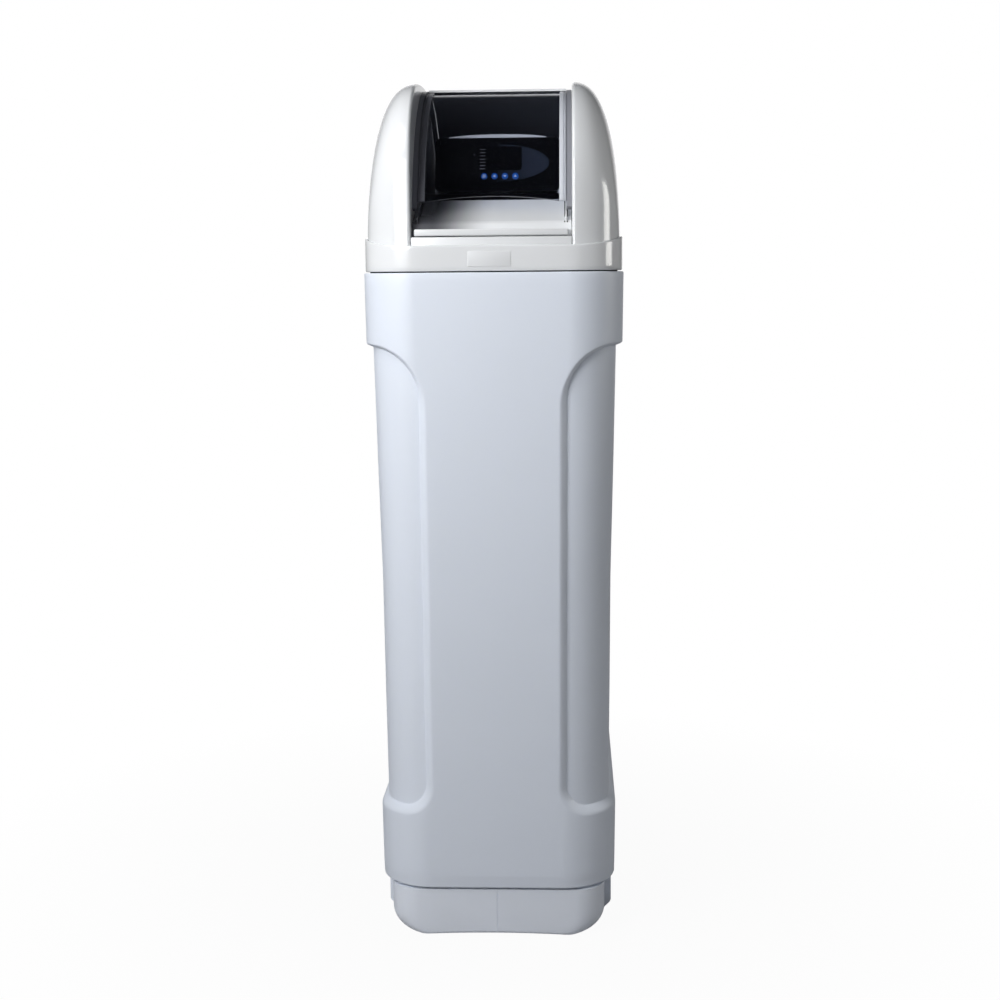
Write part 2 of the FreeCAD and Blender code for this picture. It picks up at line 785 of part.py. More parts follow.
def front_bar():
    low = tray_sill_top + seat_gap
    front = tray_front_y - bar_overhang
    rear = tray_front_y + bar_depth
    bar = box(-bar_half_width, bar_half_width, front, rear, low + 1.0, low + bar_height)
    edges = [e for e in bar.Edges if abs(e.Vertexes[0].X - e.Vertexes[1].X) > 10]
    bar = bar.makeFillet(bar_round, edges)
    heel = box(-bar_half_width + 2, bar_half_width - 2, front + 3, rear - 1, low, low + 3)
    return bar.fuse(heel)


# Shape turned about the axis of a bottle-like outline of (radius, z) points.
def turned(points, x, y):
    loop = [vec(x + r, y, z) for r, z in points]
    face = Part.Face(Part.makePolygon(loop + [loop[0]]))
    return face.revolve(vec(x, y, 0), vec(0, 0, 1), 360)


def tank_outline(inset):
    r = tank_radius - inset
    low = tank_low + inset
    neck = tank_neck_radius - inset
    points = [(0, low), (r * 0.5, low), (r * 0.75, low + 8), (r * 0.92, low + 28), (r, low + 62),
              (r, tank_shoulder_z - inset)]
    steps = 5
    rise = tank_dome_top - tank_shoulder_z
    for i in range(1, steps):
        a = radians(90 * i / steps)
        radius = r * cos(a)
        if radius > neck + 4:
            points.append((radius, tank_shoulder_z - inset + rise * sin(a)))
    points.append((neck, tank_dome_top - inset))
    return points, neck


def pressure_tank():
    outer, neck = tank_outline(0.0)
    body = turned(outer + [(neck, tank_neck_top), (0, tank_neck_top)], 0, tank_y)
    inner, throat = tank_outline(tank_wall)
    hollow = turned(inner + [(throat, tank_neck_top + 1), (0, tank_neck_top + 1)], 0, tank_y)
    return body.cut(hollow)


def tank_boot():
    rim = tank_radius + seat_gap + boot_wall
    cup = upright(0, tank_y, floor_thickness, floor_thickness + boot_height, rim)
    pocket = upright(0, tank_y, floor_thickness + tank_foot_height, floor_thickness + boot_height + 1,
                     tank_radius + seat_gap)
    return cup.cut(pocket)


def riser_tube():
    top = valve_base_z + 14
    tube = upright(0, tank_y, strainer_low, top, riser_radius)
    strainer = upright(0, tank_y, strainer_low, strainer_low + strainer_height, strainer_radius)
    rings = []
    z = strainer_low + strainer_ring_pitch
    while z < strainer_low + strainer_height - strainer_ring_pitch + 1:
        ring = upright(0, tank_y, z, z + strainer_ring_width, strainer_radius + 1)
        core = upright(0, tank_y, z - 1, z + strainer_ring_width + 1, strainer_radius - riser_wall)
        rings.append(ring.cut(core))
        z += strainer_ring_pitch
    bore = upright(0, tank_y, strainer_low + 5, top + 1, riser_radius - riser_wall)
    return tube.fuse(strainer).cut([bore] + rings)


def top_basket():
    low = valve_base_z - top_basket_height
    cup = upright(0, tank_y, low, valve_base_z - 0.3, top_basket_radius)
    return cup.cut(upright(0, tank_y, low - 1, valve_base_z + 1, riser_radius + 0.3))


def resin_bed():
    r = tank_radius - tank_wall - 0.5
    low = floor_thickness + tank_foot_height + tank_wall + 66
    bed = upright(0, tank_y, low, resin_top, r)
    return bed.cut(upright(0, tank_y, low - 1, resin_top + 1, strainer_radius + 0.5))


def tank_collar():
    low = valve_base_z - collar_drop
    ring = upright(0, tank_y, low, valve_base_z - seal_height, collar_radius)
    bore = upright(0, tank_y, low - 1, valve_base_z, tank_neck_radius + 0.2)
    grips = []
    circle = collar_radius + 0.4 * collar_grip_radius
    for i in range(collar_grips):
        a = 2 * pi * i / collar_grips
        grips.append(upright(circle * cos(a), tank_y + circle * sin(a), low - 1, valve_base_z,
                             collar_grip_radius))
    return ring.cut([bore] + grips)


def neck_seal():
    low = valve_base_z - seal_height
    ring = upright(0, tank_y, low, valve_base_z, collar_radius - 3)
    return ring.cut(upright(0, tank_y, low - 1, valve_base_z + 1, tank_neck_radius + 0.3))


def valve_body():
    half = valve_half_width
    base = upright(0, tank_y, valve_base_z, valve_base_z + valve_foot_height, collar_radius)
    block = box(-half, half, valve_front_y, valve_rear_y, valve_base_z + valve_block_lift, valve_top)
    edges = [e for e in block.Edges if abs(e.Vertexes[0].Z - e.Vertexes[1].Z) > 5]
    block = block.makeFillet(valve_corner, edges)
    chamber = upright(0, tank_y, valve_top - chamber_depth, valve_top, half + chamber_overhang)
    ports = []
    bores = []
    port_end = valve_rear_y + port_reach
    for side in (-1, 1):
        x = side * port_spacing / 2
        ports.append(along_y(x, port_z, valve_rear_y - 5, port_end, port_radius))
        bores.append(along_y(x, port_z, valve_rear_y - port_bore_depth, port_end + 1, port_bore))
    drain = along_x(tank_y, side_port_z, half - 2, half + drain_length, drain_radius)
    drain_bore = along_x(tank_y, side_port_z, half - valve_corner, half + drain_length + 1,
                         drain_radius - drain_wall)
    brine = along_x(brine_port_y, side_port_z, -half - brine_port_length, -half + 2, drain_radius)
    brine_bore = along_x(brine_port_y, side_port_z, -half - brine_port_length - 1, -half + valve_corner + 2,
                         brine_tube_radius + 0.3)
    spindle = upright(0, tank_y, valve_top - spindle_depth, valve_top + 1, spindle_radius + spindle_clearance)
    riser_bore = upright(0, tank_y, valve_base_z - 1, valve_base_z + 16, riser_radius + 0.3)
    solid = base.fuse([block, chamber, drain, brine] + ports)
    solid = solid.cut(bores + [drain_bore, brine_bore, spindle, riser_bore])
    return solid.cut(screw_bores(screw_radius + 0.05)).removeSplitter()


def bypass_body():
    low = port_z - bypass_height / 2
    high = port_z + bypass_height / 2
    block = box(-bypass_half_width, bypass_half_width, bypass_front, bypass_rear, low, high)
    edges = [e for e in block.Edges if abs(e.Vertexes[0].Y - e.Vertexes[1].Y) > 5]
    block = block.makeFillet(bypass_corner, edges)
    threads = []
    cuts = []
    for side in (-1, 1):
        x = side * port_spacing / 2
        threads.append(along_y(x, port_z, bypass_rear - 2, bypass_rear + hose_thread_length, port_radius))
        cuts.append(along_y(x, port_z, bypass_front - 1, bypass_rear + hose_thread_length + 1, port_bore))
        cuts.append(upright(x, knob_y, port_z, high + 1, knob_stem_radius + knob_stem_clearance))
    return block.fuse(threads).cut(cuts)


def bypass_knob(side):
    x = side * port_spacing / 2
    top = port_z + bypass_height / 2
    disc = upright(x, knob_y, top + 1, top + 6, knob_radius)
    reach = knob_radius - 1
    grip = box(x - 3.5, x + 3.5, knob_y - reach, knob_y + reach, top + 5, top + knob_height)
    stem = upright(x, knob_y, port_z + port_bore + 1, top + 3, knob_stem_radius)
    return disc.fuse([grip, stem])


# Spur gear outline with straight flanks, one tooth centred on the given direction.
def gear_prism(teeth, x, y, z0, z1, phase, fullness):
    pitch_radius = module_size * teeth / 2
    tip = pitch_radius + 0.85 * module_size
    root = pitch_radius - 1.2 * module_size
    step = 2 * pi / teeth
    points = []
    for i in range(teeth):
        a = phase + i * step
        for share, radius in ((-0.30 * fullness, root), (-0.13 * fullness, tip), (0.13 * fullness, tip),
                              (0.30 * fullness, root)):
            b = a + share * step
            points.append(vec(x + radius * cos(b), y + radius * sin(b), z0))
    face = Part.Face(Part.makePolygon(points + [points[0]]))
    return face.extrude(vec(0, 0, z1 - z0))


def disc_gear():
    rim = gear_prism(gear_teeth, 0, tank_y, gear_bottom, gear_top, -pi / 2, 0.85)
    hub = upright(0, tank_y, valve_top + base_plate_thickness + 1.5, gear_top + 6,
                  gear_hub_radius)
    spindle = upright(0, tank_y, valve_top - spindle_depth + spindle_end_gap, gear_bottom, spindle_radius)
    windows = []
    for i in range(6):
        a = radians(60 * i + 30)
        x = gear_window_circle * cos(a)
        y = tank_y + gear_window_circle * sin(a)
        windows.append(upright(x, y, gear_bottom - 1, gear_top + 1, gear_window_radius))
    return rim.fuse([hub, spindle]).cut(windows)


def motor_pinion():
    tooth_gap = pi / 2 + pi / pinion_teeth
    teeth = gear_prism(pinion_teeth, 0, pinion_y, gear_bottom, gear_top, tooth_gap, 0.85)
    top = bracket_top + 4
    return teeth.fuse(upright(0, pinion_y, gear_bottom, top, motor_shaft_radius))


def motor_bracket():
    rear = pinion_y + 12
    front = pinion_y - motor_radius
    deck = box(-bracket_half_width, bracket_half_width, front, rear, bracket_bottom, bracket_top)
    shaft_hole = upright(0, pinion_y, bracket_bottom - 1, bracket_top + 1, motor_shaft_radius + 1.0)
    legs = []
    for side in (-1, 1):
        inner = side * (bracket_half_width - bracket_thickness)
        outer = side * bracket_half_width
        legs.append(box(min(inner, outer), max(inner, outer), front, front + 14, head_floor, bracket_top))
    return deck.fuse(legs).cut(shaft_hole)


def drive_motor():
    can = upright(0, pinion_y, bracket_top, bracket_top + motor_height, motor_radius)
    can = can.makeFillet(2, [can.Edges[0]])
    bore = upright(0, pinion_y, bracket_top - 1, bracket_top + 5, motor_shaft_radius + 0.08)
    return can.cut(bore)


# The fascia's own frame: x across, y into the head, z up along the leaning face.
def placed_on_fascia(shape):
    shape.translate(vec(head_centre_x, fascia_centre_y, fascia_centre_z))
    return shape.rotated(vec(0, fascia_centre_y, fascia_centre_z), vec(1, 0, 0), -fascia_lean)


def face_slab(half_x, half_z, radius, y0, y1, x=0.0, z=0.0):
    slab = box(x - half_x, x + half_x, y0, y1, z - half_z, z + half_z)
    edges = [e for e in slab.Edges if abs(e.Vertexes[0].Y - e.Vertexes[1].Y) > 0.1]
    return slab.makeFillet(radius, edges)


def bezel_oval(y0, y1):
    ellipse = Part.Ellipse(vec(0, 0, 0), bezel_half_length, bezel_half_height)
    oval = Part.Face(Part.Wire([ellipse.toShape()])).extrude(vec(0, 0, y1 - y0))
    oval = oval.rotated(vec(0, 0, 0), vec(1, 0, 0), 90)
    oval.translate(vec(0, y1, bezel_rise))
    return oval


def button_holes():
    return [along_y(x, -button_drop, -10, 10, button_radius + button_clearance) for x in button_xs]


def control_fascia():
    plate = face_slab(fascia_width / 2, fascia_height / 2, fascia_corner, 0, fascia_thickness)
    window = face_slab(window_width / 2 - window_lip, window_height / 2 - window_lip, 2, -5, 5,
                       window_x - head_centre_x, window_rise)
    return placed_on_fascia(plate.cut([window] + button_holes()))


def display_bezel():
    oval = bezel_oval(-bezel_thickness, 0)
    window = face_slab(window_width / 2 + 0.1, window_height / 2 + 0.1, window_corner, -5, 5,
                       window_x - head_centre_x, window_rise)
    return placed_on_fascia(oval.cut([window] + button_holes()))


def display_window():
    pane = face_slab(window_width / 2, window_height / 2, window_corner, -bezel_thickness - window_proud, 0,
                     window_x - head_centre_x, window_rise)
    return placed_on_fascia(pane)


def button(i):
    x = button_xs[i]
    tail = board_gap - switch_gap - button_travel
    cap = along_y(x, -button_drop, -bezel_thickness - button_proud, tail, button_radius)
    return placed_on_fascia(cap)


def control_board():
    front = board_gap + switch_height
    board = box(-board_half_width, board_half_width, front, front + board_thickness, -board_half_height,
                board_half_height)
    half = switch_width / 2
    switches = []
    for x in button_xs:
        switches.append(box(x - half, x + half, board_gap, front + 0.4, -button_drop - half,
                            -button_drop + half))
    posts = []
    for sx in (-1, 1):
        for sz in (-1, 1):
            x = sx * (board_half_width - post_inset)
            z = sz * (board_half_height - post_inset)
            posts.append(along_y(x, z, fascia_thickness, front + 0.4, post_radius))
    return placed_on_fascia(board.fuse(switches + posts))


def head_screws():
    screws = []
    for x, y in screw_places:
        shank = upright(x, y, head_floor - screw_length, head_floor + 1, screw_radius)
        head = upright(x, y, head_floor, head_floor + screw_head_height, 2 * screw_radius)
        socket = upright(x, y, head_floor + 1, head_floor + screw_head_height + 1, screw_radius * 0.8)
        screws.append(shank.fuse(head).cut(socket))
    return Part.makeCompound(screws)


def screw_bores(radius):
    return [upright(x, y, head_floor - screw_length - 1, head_floor + 1, radius) for x, y in screw_places]


def head_base_plate():
    front = head_outline(0.0, 0.3)[0][0] + 1
    plate = box(head_centre_x - head_half_width, head_centre_x + head_half_width, front, head_rear_y,
                valve_top + base_plate_gap, head_floor)
    hole = upright(0, tank_y, valve_top, head_floor + 1, spindle_radius + 1)
    return plate.cut([hole] + screw_bores(screw_radius + 0.3))


def head_outline(inset, lift):
    lean = fascia_lean
    rear_y = fascia_centre_y + (fascia_thickness + 0.3) / cos(radians(lean))
    slope = sin(radians(lean)) / cos(radians(lean))
    low = head_floor + lift
    high = head_top - inset
    low_y = rear_y + (low - fascia_centre_z) * slope
    high_y = rear_y + (high - fascia_centre_z) * slope
    return [(low_y, low), (high_y, high), (head_rear_y - inset, high), (head_rear_y - inset, low)]


def control_housing():
    half = head_half_width
    outer = across(head_outline(0.0, 0.3), head_centre_x - half, head_centre_x + half)
    radius = (half ** 2 + head_side_drop ** 2) / (2 * head_side_drop)
    crown_axis = vec(head_centre_x, -beyond, head_top - radius)
    crown = Part.makeCylinder(radius, 2 * beyond, crown_axis, vec(0, 1, 0))
    inner_crown = Part.makeCylinder(radius - head_wall, 2 * beyond, crown_axis, vec(0, 1, 0))
    inner_half = half - head_wall
    inner = across(head_outline(head_wall, -1.0), head_centre_x - inner_half, head_centre_x + inner_half)
    opening = box(head_centre_x - head_opening_half_width, head_centre_x + head_opening_half_width, -beyond,
                  fascia_centre_y + head_opening_depth, head_floor + head_opening_low,
                  head_top - head_opening_high)
    inner = inner.fuse(opening)
    return outer.common(crown).cut(inner.common(inner_crown))


def brine_well():
    tube = upright(well_x, well_y, floor_thickness + 0.3, well_height, well_radius)
    tube = tube.cut(upright(well_x, well_y, floor_thickness - 1, well_height + 1, well_radius - well_wall))
    exit_hole = along_y(well_x, tube_exit_z, well_y, well_y + 2 * well_radius, brine_tube_radius + 0.4)
    slots = []
    reach = well_radius + 1
    half = well_slot_height / 2
    for i in range(well_slots):
        low = floor_thickness + well_slot_lift + well_slot_pitch * i
        slots.append(box(well_x - reach, well_x + reach, well_y - half, well_y + half, low,
                         low + well_slot_height))
    return tube.cut([exit_hole] + slots)


def well_cap():
    top = well_height + well_cap_height
    r = well_radius + well_cap_clearance
    skirt = upright(well_x, well_y, well_height - well_cap_skirt, top, r + 2.5)
    return skirt.cut(upright(well_x, well_y, well_height - well_cap_skirt - 1, well_height + 0.3, r))


def float_stem():
    rod = upright(well_x, well_y, stem_foot, stem_top, stem_radius)
    foot = upright(well_x, well_y, floor_thickness + seat_gap, stem_foot + 1, stem_foot_radius)
    reach = well_radius - well_wall - seat_gap
    half = stem_bridge_width / 2
    low = stem_top - stem_bridge_drop
    bridge = box(well_x - reach, well_x + reach, well_y - half, well_y + half, low, low + stem_bridge_height)
    head = along_y(well_x, tube_exit_z, well_y, well_y + well_radius - well_wall - 2, stem_radius + 2)
    socket = along_y(well_x, tube_exit_z, well_y + 12, well_y + well_radius, brine_tube_radius + 0.2)
    low_stop_top = float_rest_z - float_stop_gap
    high_stop_low = float_rest_z + float_height + float_travel + float_stop_gap
    stops = [upright(well_x, well_y, low_stop_top - float_stop_thickness, low_stop_top, float_stop_radius),
             upright(well_x, well_y, high_stop_low, high_stop_low + float_stop_thickness, float_stop_radius)]
    return rod.fuse([foot, bridge, head] + stops).cut(socket)


def float_ball():
    drum = upright(well_x, well_y, float_rest_z, float_rest_z + float_height, float_radius)
    drum = drum.makeFillet(5, [e for e in drum.Edges if e.Length > 2 * float_radius + float_height])
    return drum.cut(upright(well_x, well_y, float_rest_z - 1, float_rest_z + float_height + 1,
                            stem_radius + float_clearance))


# Straight runs joined by arcs that touch them, as one wire.
def rounded_path(points, radii):
    edges = []
    start = points[0]
    for i in range(1, len(points) - 1):
        here = points[i]
        back = (points[i - 1] - here).normalize()
        ahead = (points[i + 1] - here).normalize()
        half_turn = (pi - back.getAngle(ahead)) / 2
        reach = radii[i - 1] * sin(half_turn) / cos(half_turn)
        first = here + back * reach
        last = here + ahead * reach
        middle_way = (back + ahead).normalize()
        centre_gap = radii[i - 1] / cos(half_turn)
        middle = here + middle_way * (centre_gap - radii[i - 1])
        edges.append(Part.makeLine(start, first))
        edges.append(Part.Arc(first, middle, last).toShape())
        start = last
    edges.append(Part.makeLine(start, points[-1]))
    return Part.Wire(edges)


def brine_tube():
    start_y = well_y + tube_socket_reach
    corner_y = start_y + tube_low_run
    side_x = -valve_half_width - tube_side_reach
    start = vec(well_x, start_y, tube_exit_z)
    corner = vec(well_x, corner_y, tube_exit_z)
    riser = vec(side_x, corner_y + tube_climb_run, side_port_z - tube_port_drop)
    turn = vec(side_x, brine_port_y, side_port_z)
    end = vec(-valve_half_width - tube_port_overlap, brine_port_y, side_port_z)
    points = [start, corner, riser, turn, end]
    path = rounded_path(points, tube_bends)
    circle = Part.Wire([Part.Circle(points[0], vec(0, 1, 0), brine_tube_radius).toShape()])
    return path.makePipeShell([circle], True, False)


def salt_grid():
    top = floor_thickness + grid_height
    inner_x = plinth_front_half_width - body_wall - 2
    front = -(plinth_half_depth - body_wall) + 2
    rear = tank_y - tank_radius - boot_wall - 4
    half_y = (rear - front) / 2
    plan = plan_wire(inner_x, half_y, plinth_plan_radius, top - grid_thickness, (front + rear) / 2)
    plate = Part.Face(plan).extrude(vec(0, 0, grid_thickness))
    holes = [upright(well_x, well_y, 0, top + 1, well_radius + 1.5)]
    y = front + 22
    while y < rear - 14:
        x = well_x + well_radius + 10
        while x < inner_x - 16:
            holes.append(box(x, x + grid_pitch - grid_slot, y, y + grid_slot, 0, top + 1))
            x += grid_pitch
        y += grid_pitch
    legs = []
    for x in (-inner_x + 36, inner_x - 36):
        for y in (front + 26, rear - 12):
            legs.append(upright(x, y, floor_thickness + 0.3, top - 1, grid_leg))
    return plate.cut(holes).fuse(legs).cut(holes[0])


def overflow_elbow():
    knee_y = bay_face + overflow_reach
    stub_y = bay_face - body_wall - overflow_nut_height - overflow_wall
    barb_low = overflow_z - overflow_radius - barb_length
    stub = along_y(0, overflow_z, stub_y, knee_y, overflow_radius)
    flange = along_y(0, overflow_z, bay_face + seat_gap, bay_face + 3, overflow_nut_radius)
    knee = upright(0, knee_y, overflow_z - overflow_radius, overflow_z + overflow_radius, overflow_radius)
    barb = upright(0, knee_y, barb_low, overflow_z, barb_radius)
    bore = upright(0, knee_y, barb_low - 1, overflow_z, overflow_radius - overflow_wall)
    cross = along_y(0, overflow_z, stub_y - 1, knee_y, overflow_radius - overflow_wall)
    return stub.fuse([flange, knee, barb]).cut([bore, cross])


def overflow_nut():
    rear = bay_face - body_wall - seat_gap
    front = rear - overflow_nut_height
    loop = []
    for i in range(6):
        a = radians(60 * i)
        loop.append(vec(overflow_nut_radius * cos(a), front, overflow_z + overflow_nut_radius * sin(a)))
    hexagon = Part.Face(Part.makePolygon(loop + [loop[0]])).extrude(vec(0, overflow_nut_height, 0))
    return hexagon.cut(along_y(0, overflow_z, front - 1, rear + 1, overflow_radius + 0.1))


def cable_gland():
    neck = along_y(gland_x, gland_z, bay_face - body_wall - 5, bay_face + 6, gland_radius)
    flange = along_y(gland_x, gland_z, bay_face + seat_gap, bay_face + 4, gland_radius + 4)
    bore = along_y(gland_x, gland_z, bay_face - hose_bay_depth, beyond, gland_bore)
    return neck.fuse(flange).cut(bore)


def build():
    cheek = right_cheek()
    runner = cover_runner()
    rail = guide_rail()
    nodes = {
        "cabinet_body": cabinet_body(),
        "foot_pads": foot_pads(),
        "lid_ring": lid_ring(),
        "right_cheek": cheek,
        "left_cheek": mirrored_x(cheek),
        "rear_hood": rear_hood(),
        "smoked_cover": smoked_cover(),
        "right_runner": runner,
        "left_runner": mirrored_x(runner),
        "right_rail": rail,
        "left_rail": mirrored_x(rail),
        "front_tray": front_tray(),
        "front_bar": front_bar(),
        "blank_plate": blank_plate(),
        "pressure_tank": pressure_tank(),
        "tank_boot": tank_boot(),
        "riser_tube": riser_tube(),
        "top_basket": top_basket(),
        "resin_bed": resin_bed(),
        "tank_collar": tank_collar(),
        "neck_seal": neck_seal(),
        "valve_body": valve_body(),
        "bypass_body": bypass_body(),
        "inlet_knob": bypass_knob(-1),
        "outlet_knob": bypass_knob(1),
        "disc_gear": disc_gear(),
        "motor_pinion": motor_pinion(),
        "motor_bracket": motor_bracket(),
        "drive_motor": drive_motor(),
        "head_base_plate": head_base_plate(),
        "head_screws": head_screws(),
        "control_housing": control_housing(),
        "control_fascia": control_fascia(),
        "display_bezel": display_bezel(),
        "display_window": display_window(),
        "control_board": control_board(),
        "brine_well": brine_well(),
        "well_cap": well_cap(),
        "float_stem": float_stem(),
        "brine_float": float_ball(),
        "brine_tube": brine_tube(),
        "salt_grid": salt_grid(),
        "overflow_elbow": overflow_elbow(),
        "overflow_nut": overflow_nut(),
        "cable_gland": cable_gland(),
    }
    for i, name in enumerate(("menu_button", "back_button", "down_button", "up_button")):
        nodes[name] = button(i)
    return nodes


os.makedirs("parts", exist_ok=True)
for node, shape in build().items():
    shape.translate(vec(0, 0, pad_height))
    shape.exportStep("parts/" + node + ".step")
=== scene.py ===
import json
from math import asin, atan2, cos, degrees, hypot, pi, radians, sin, sqrt

import bmesh
import bpy
import numpy as np
from mathutils import Matrix, Vector

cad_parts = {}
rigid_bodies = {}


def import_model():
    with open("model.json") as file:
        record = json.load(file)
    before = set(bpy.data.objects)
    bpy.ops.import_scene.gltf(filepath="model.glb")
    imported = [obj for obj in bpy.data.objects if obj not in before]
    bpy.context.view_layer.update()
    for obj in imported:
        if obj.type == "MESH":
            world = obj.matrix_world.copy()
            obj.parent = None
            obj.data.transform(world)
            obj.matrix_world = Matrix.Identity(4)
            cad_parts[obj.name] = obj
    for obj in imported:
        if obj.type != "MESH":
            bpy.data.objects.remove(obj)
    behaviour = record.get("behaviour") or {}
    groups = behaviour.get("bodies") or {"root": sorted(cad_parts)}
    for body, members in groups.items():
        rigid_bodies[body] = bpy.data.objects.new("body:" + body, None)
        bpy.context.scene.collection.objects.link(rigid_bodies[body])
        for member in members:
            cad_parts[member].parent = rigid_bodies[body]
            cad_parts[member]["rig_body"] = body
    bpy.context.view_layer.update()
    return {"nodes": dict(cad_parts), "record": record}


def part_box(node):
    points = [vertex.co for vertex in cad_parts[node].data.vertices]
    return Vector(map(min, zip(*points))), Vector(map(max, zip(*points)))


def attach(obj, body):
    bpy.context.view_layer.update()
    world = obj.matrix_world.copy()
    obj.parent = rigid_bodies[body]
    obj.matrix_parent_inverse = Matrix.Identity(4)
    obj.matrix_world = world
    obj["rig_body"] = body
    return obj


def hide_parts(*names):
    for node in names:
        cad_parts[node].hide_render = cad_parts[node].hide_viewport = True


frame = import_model()

# Pieces are in millimetres and degrees; the camera, the lights and the materials are in metres.
MM = 0.001

# Cabinet body
BODY_FOOT_Z = 67.0
BODY_TOP_Z = 866.0
FOOT_HALF_WIDTH = 155.0
TOP_HALF_WIDTH = 165.7
FOOT_HALF_DEPTH = 240.0
TOP_HALF_DEPTH = 248.5
BODY_CORNER = 70.0
CORE_HALF_WIDTHS = [147.0, 148.5, 149.5, 153.0, 156.0]
CORE_INSET = 9.0
PANEL_HALF_WIDTH = 81.0
RECESS_HALF_WIDTH = 91.0
RECESS_FLARE = 2.5
RECESS_LOW_Z = 175.5
RECESS_HIGH_Z = 773.0
RECESS_HIGH_RADIUS = 64.0
RECESS_LOW_RADIUS = 31.0
BEVEL_WIDTH = 10.0
LIP_TOP = 4.5
LIP_LOW = 12.0
LIP_TURN = 0.96
LIP_SOFT_SHARE = 0.25
FOOT_EDGE_RADIUS = 2.6
CREASE_Z = 81.0
CREASE_DEPTH = 0.16
RIM_EDGE_RADIUS = 1.8
BODY_WALL = 3.2
RIM_WALL = 4.0
MOUTH_Z = 794.0
BAY_HALF_WIDTH = 75.0
BAY_FLOOR_Y = 218.5
BAY_WALL_Y = 215.3
BAY_CUT_REAR_Y = 280.0
BAY_CUT_TOP_Z = 900.0
BEYOND_REAR_Y = 300.0
BAY_LOW_Z = 602.0

# Foot of the cabinet
PLINTH_HALF_WIDTH = 151.0
PLINTH_FRONT_HALF_WIDTH = 141.0
PLINTH_FRONT_DEPTH = 90.0
PLINTH_SETBACK = 4.0
PLINTH_CORNER = 29.0
PLINTH_PLAN_RADIUS = 40.0
PLINTH_BEVEL = 12.0
PAD_HEIGHT = 2.0
FOOT_TOP_Z = 64.2
FOOT_ARCH = 2.2
NECK_INSET = 7.0
NECK_REACH = 6.0
FOOT_FACE_EDGE = 5.0
SEAM_HALF_WIDTH = 0.6
SEAM_DEPTH = 0.9

# Lid ring
RING_HALF_WIDTH = 164.0
RING_HALF_DEPTH = 246.8
RING_LOW_Z = 867.5
RING_HIGH_Z = 910.0
RING_DROP = 11.0
RING_SLOPE = 60.0
RING_LIP = 3.1
RING_LEDGE_Z = 882.4
RING_LEDGE_WIDTH = 13.0
RING_CORNER = 69.0
SPIGOT_LOW_Z = 854.4
SPIGOT_INSET = 6.0
SPIGOT_WALL = 3.0
NOTCH_HALF_WIDTH = 81.0
NOTCH_FRONT_Y = 206.5

# Cheeks of the lid
CHEEK_INNER_X = 100.0
CHEEK_OUTER_X = 160.6
CHEEK_HALF_DEPTH = 241.0
CHEEK_BASE_Z = 882.7
CHEEK_LOW_TOP_Z = 902.0
CHEEK_TOP_Z = 1117.0
CHEEK_POWER = 2.55
CHEEK_PLAN_RADIUS = 65.9
CHEEK_SHOULDER = 0.56
CHEEK_CROWN = 0.16
RIM_ROUND = 4.5

# Sliding cover, its runners and rails, and the rear hood, about one axis
AXIS_Z = 886.0
PANE_RADIUS = 220.2
PANE_THICKNESS = 2.4
PANE_LOW_ANGLE = 18.0
PANE_HIGH_ANGLE = 87.5
PANE_ARCH = 6.5
WELD_DISTANCE = 0.01 * MM
RUNNER_INNER_X = 84.3
RUNNER_OUTER_X = 92.8
RUNNER_HEIGHT = 2.2
RUNNER_GROOVE_X = 90.2
TONGUE_X = 96.6
RAIL_INNER_X = 93.6
RAIL_BASE_X = 97.3
RAIL_OUTER_X = 99.8
RAIL_FLANGE = 3.8
RAIL_LOW_ANGLE = 15.5
RAIL_HIGH_ANGLE = 165.0
HOOD_RADIUS = 226.0
HOOD_WALL = 2.8
HOOD_HALF_WIDTH = 93.3
HOOD_LOW_ANGLE = 84.0
HOOD_HIGH_ANGLE = 176.0
HOOD_NOTCH_TOP = 934.0

# Tray, bar and plate at the front of the lid
TRAY_FRONT_Y = -240.0
TRAY_SILL_Z = 909.5
TRAY_SILL_DEPTH = 8.0
TRAY_FOLD = (-222.0, 929.0)
TRAY_REAR = (-116.0, 968.0)
TRAY_BAND_Y = -141.0
TRAY_HALF_WIDTH = 99.4
TRAY_WALL = 3.0
FENCE_X = 91.6
FENCE_WALL = 2.0
SEAL_WIDTH = 1.3
SEAL_RISE = 0.7
BAR_HALF_WIDTH = 95.5
BAR_LOW_Z = 910.8
BAR_HIGH_Z = 919.2
PLATE_CENTRE_X = -2.4
PLATE_CENTRE_Z = 882.4
PLATE_WIDTH = 53.4
PLATE_HEIGHT = 18.4

# Marks on the control panel
FASCIA_LEAN = 15.7
FASCIA_HEIGHT = 72.0
CROWN_RISE = 4.4
CROWN_REACH = 64.0
LABEL_COUNT = 7
LABEL_PITCH = 4.4
LABEL_WIDTH = 7.4
LABEL_HEIGHT = 1.0
LABEL_INSET = 2.0

# The photograph's camera
CAMERA_PLACE = (0.0956, -2.2439, 0.8625)
CAMERA_YAW = 2.497
CAMERA_PITCH = 7.996
CAMERA_ROLL = -0.496
CAMERA_FOCAL_PIXELS = 1601.9
PICTURE_PIXELS = 1000.0
SENSOR_WIDTH = 36.0

# Looks that several materials or the whole studio share
DUST_COLOR = (0.55, 0.54, 0.52, 1)
PANE_TINT = (0.50, 0.52, 0.57)
WHITE = (1, 1, 1, 1)
AMBIENT = 0.055


# Meshes

def placed(name, data):
    piece = bpy.data.objects.new(name, data)
    bpy.context.scene.collection.objects.link(piece)
    return piece


def object_from(name, points, faces, unit=MM, edges=()):
    mesh = bpy.data.meshes.new(name)
    vertices = [tuple(c * unit for c in point) for point in points]
    mesh.from_pydata(vertices, edges, [tuple(int(i) for i in face) for face in faces])
    mesh.update()
    return placed(name, mesh)


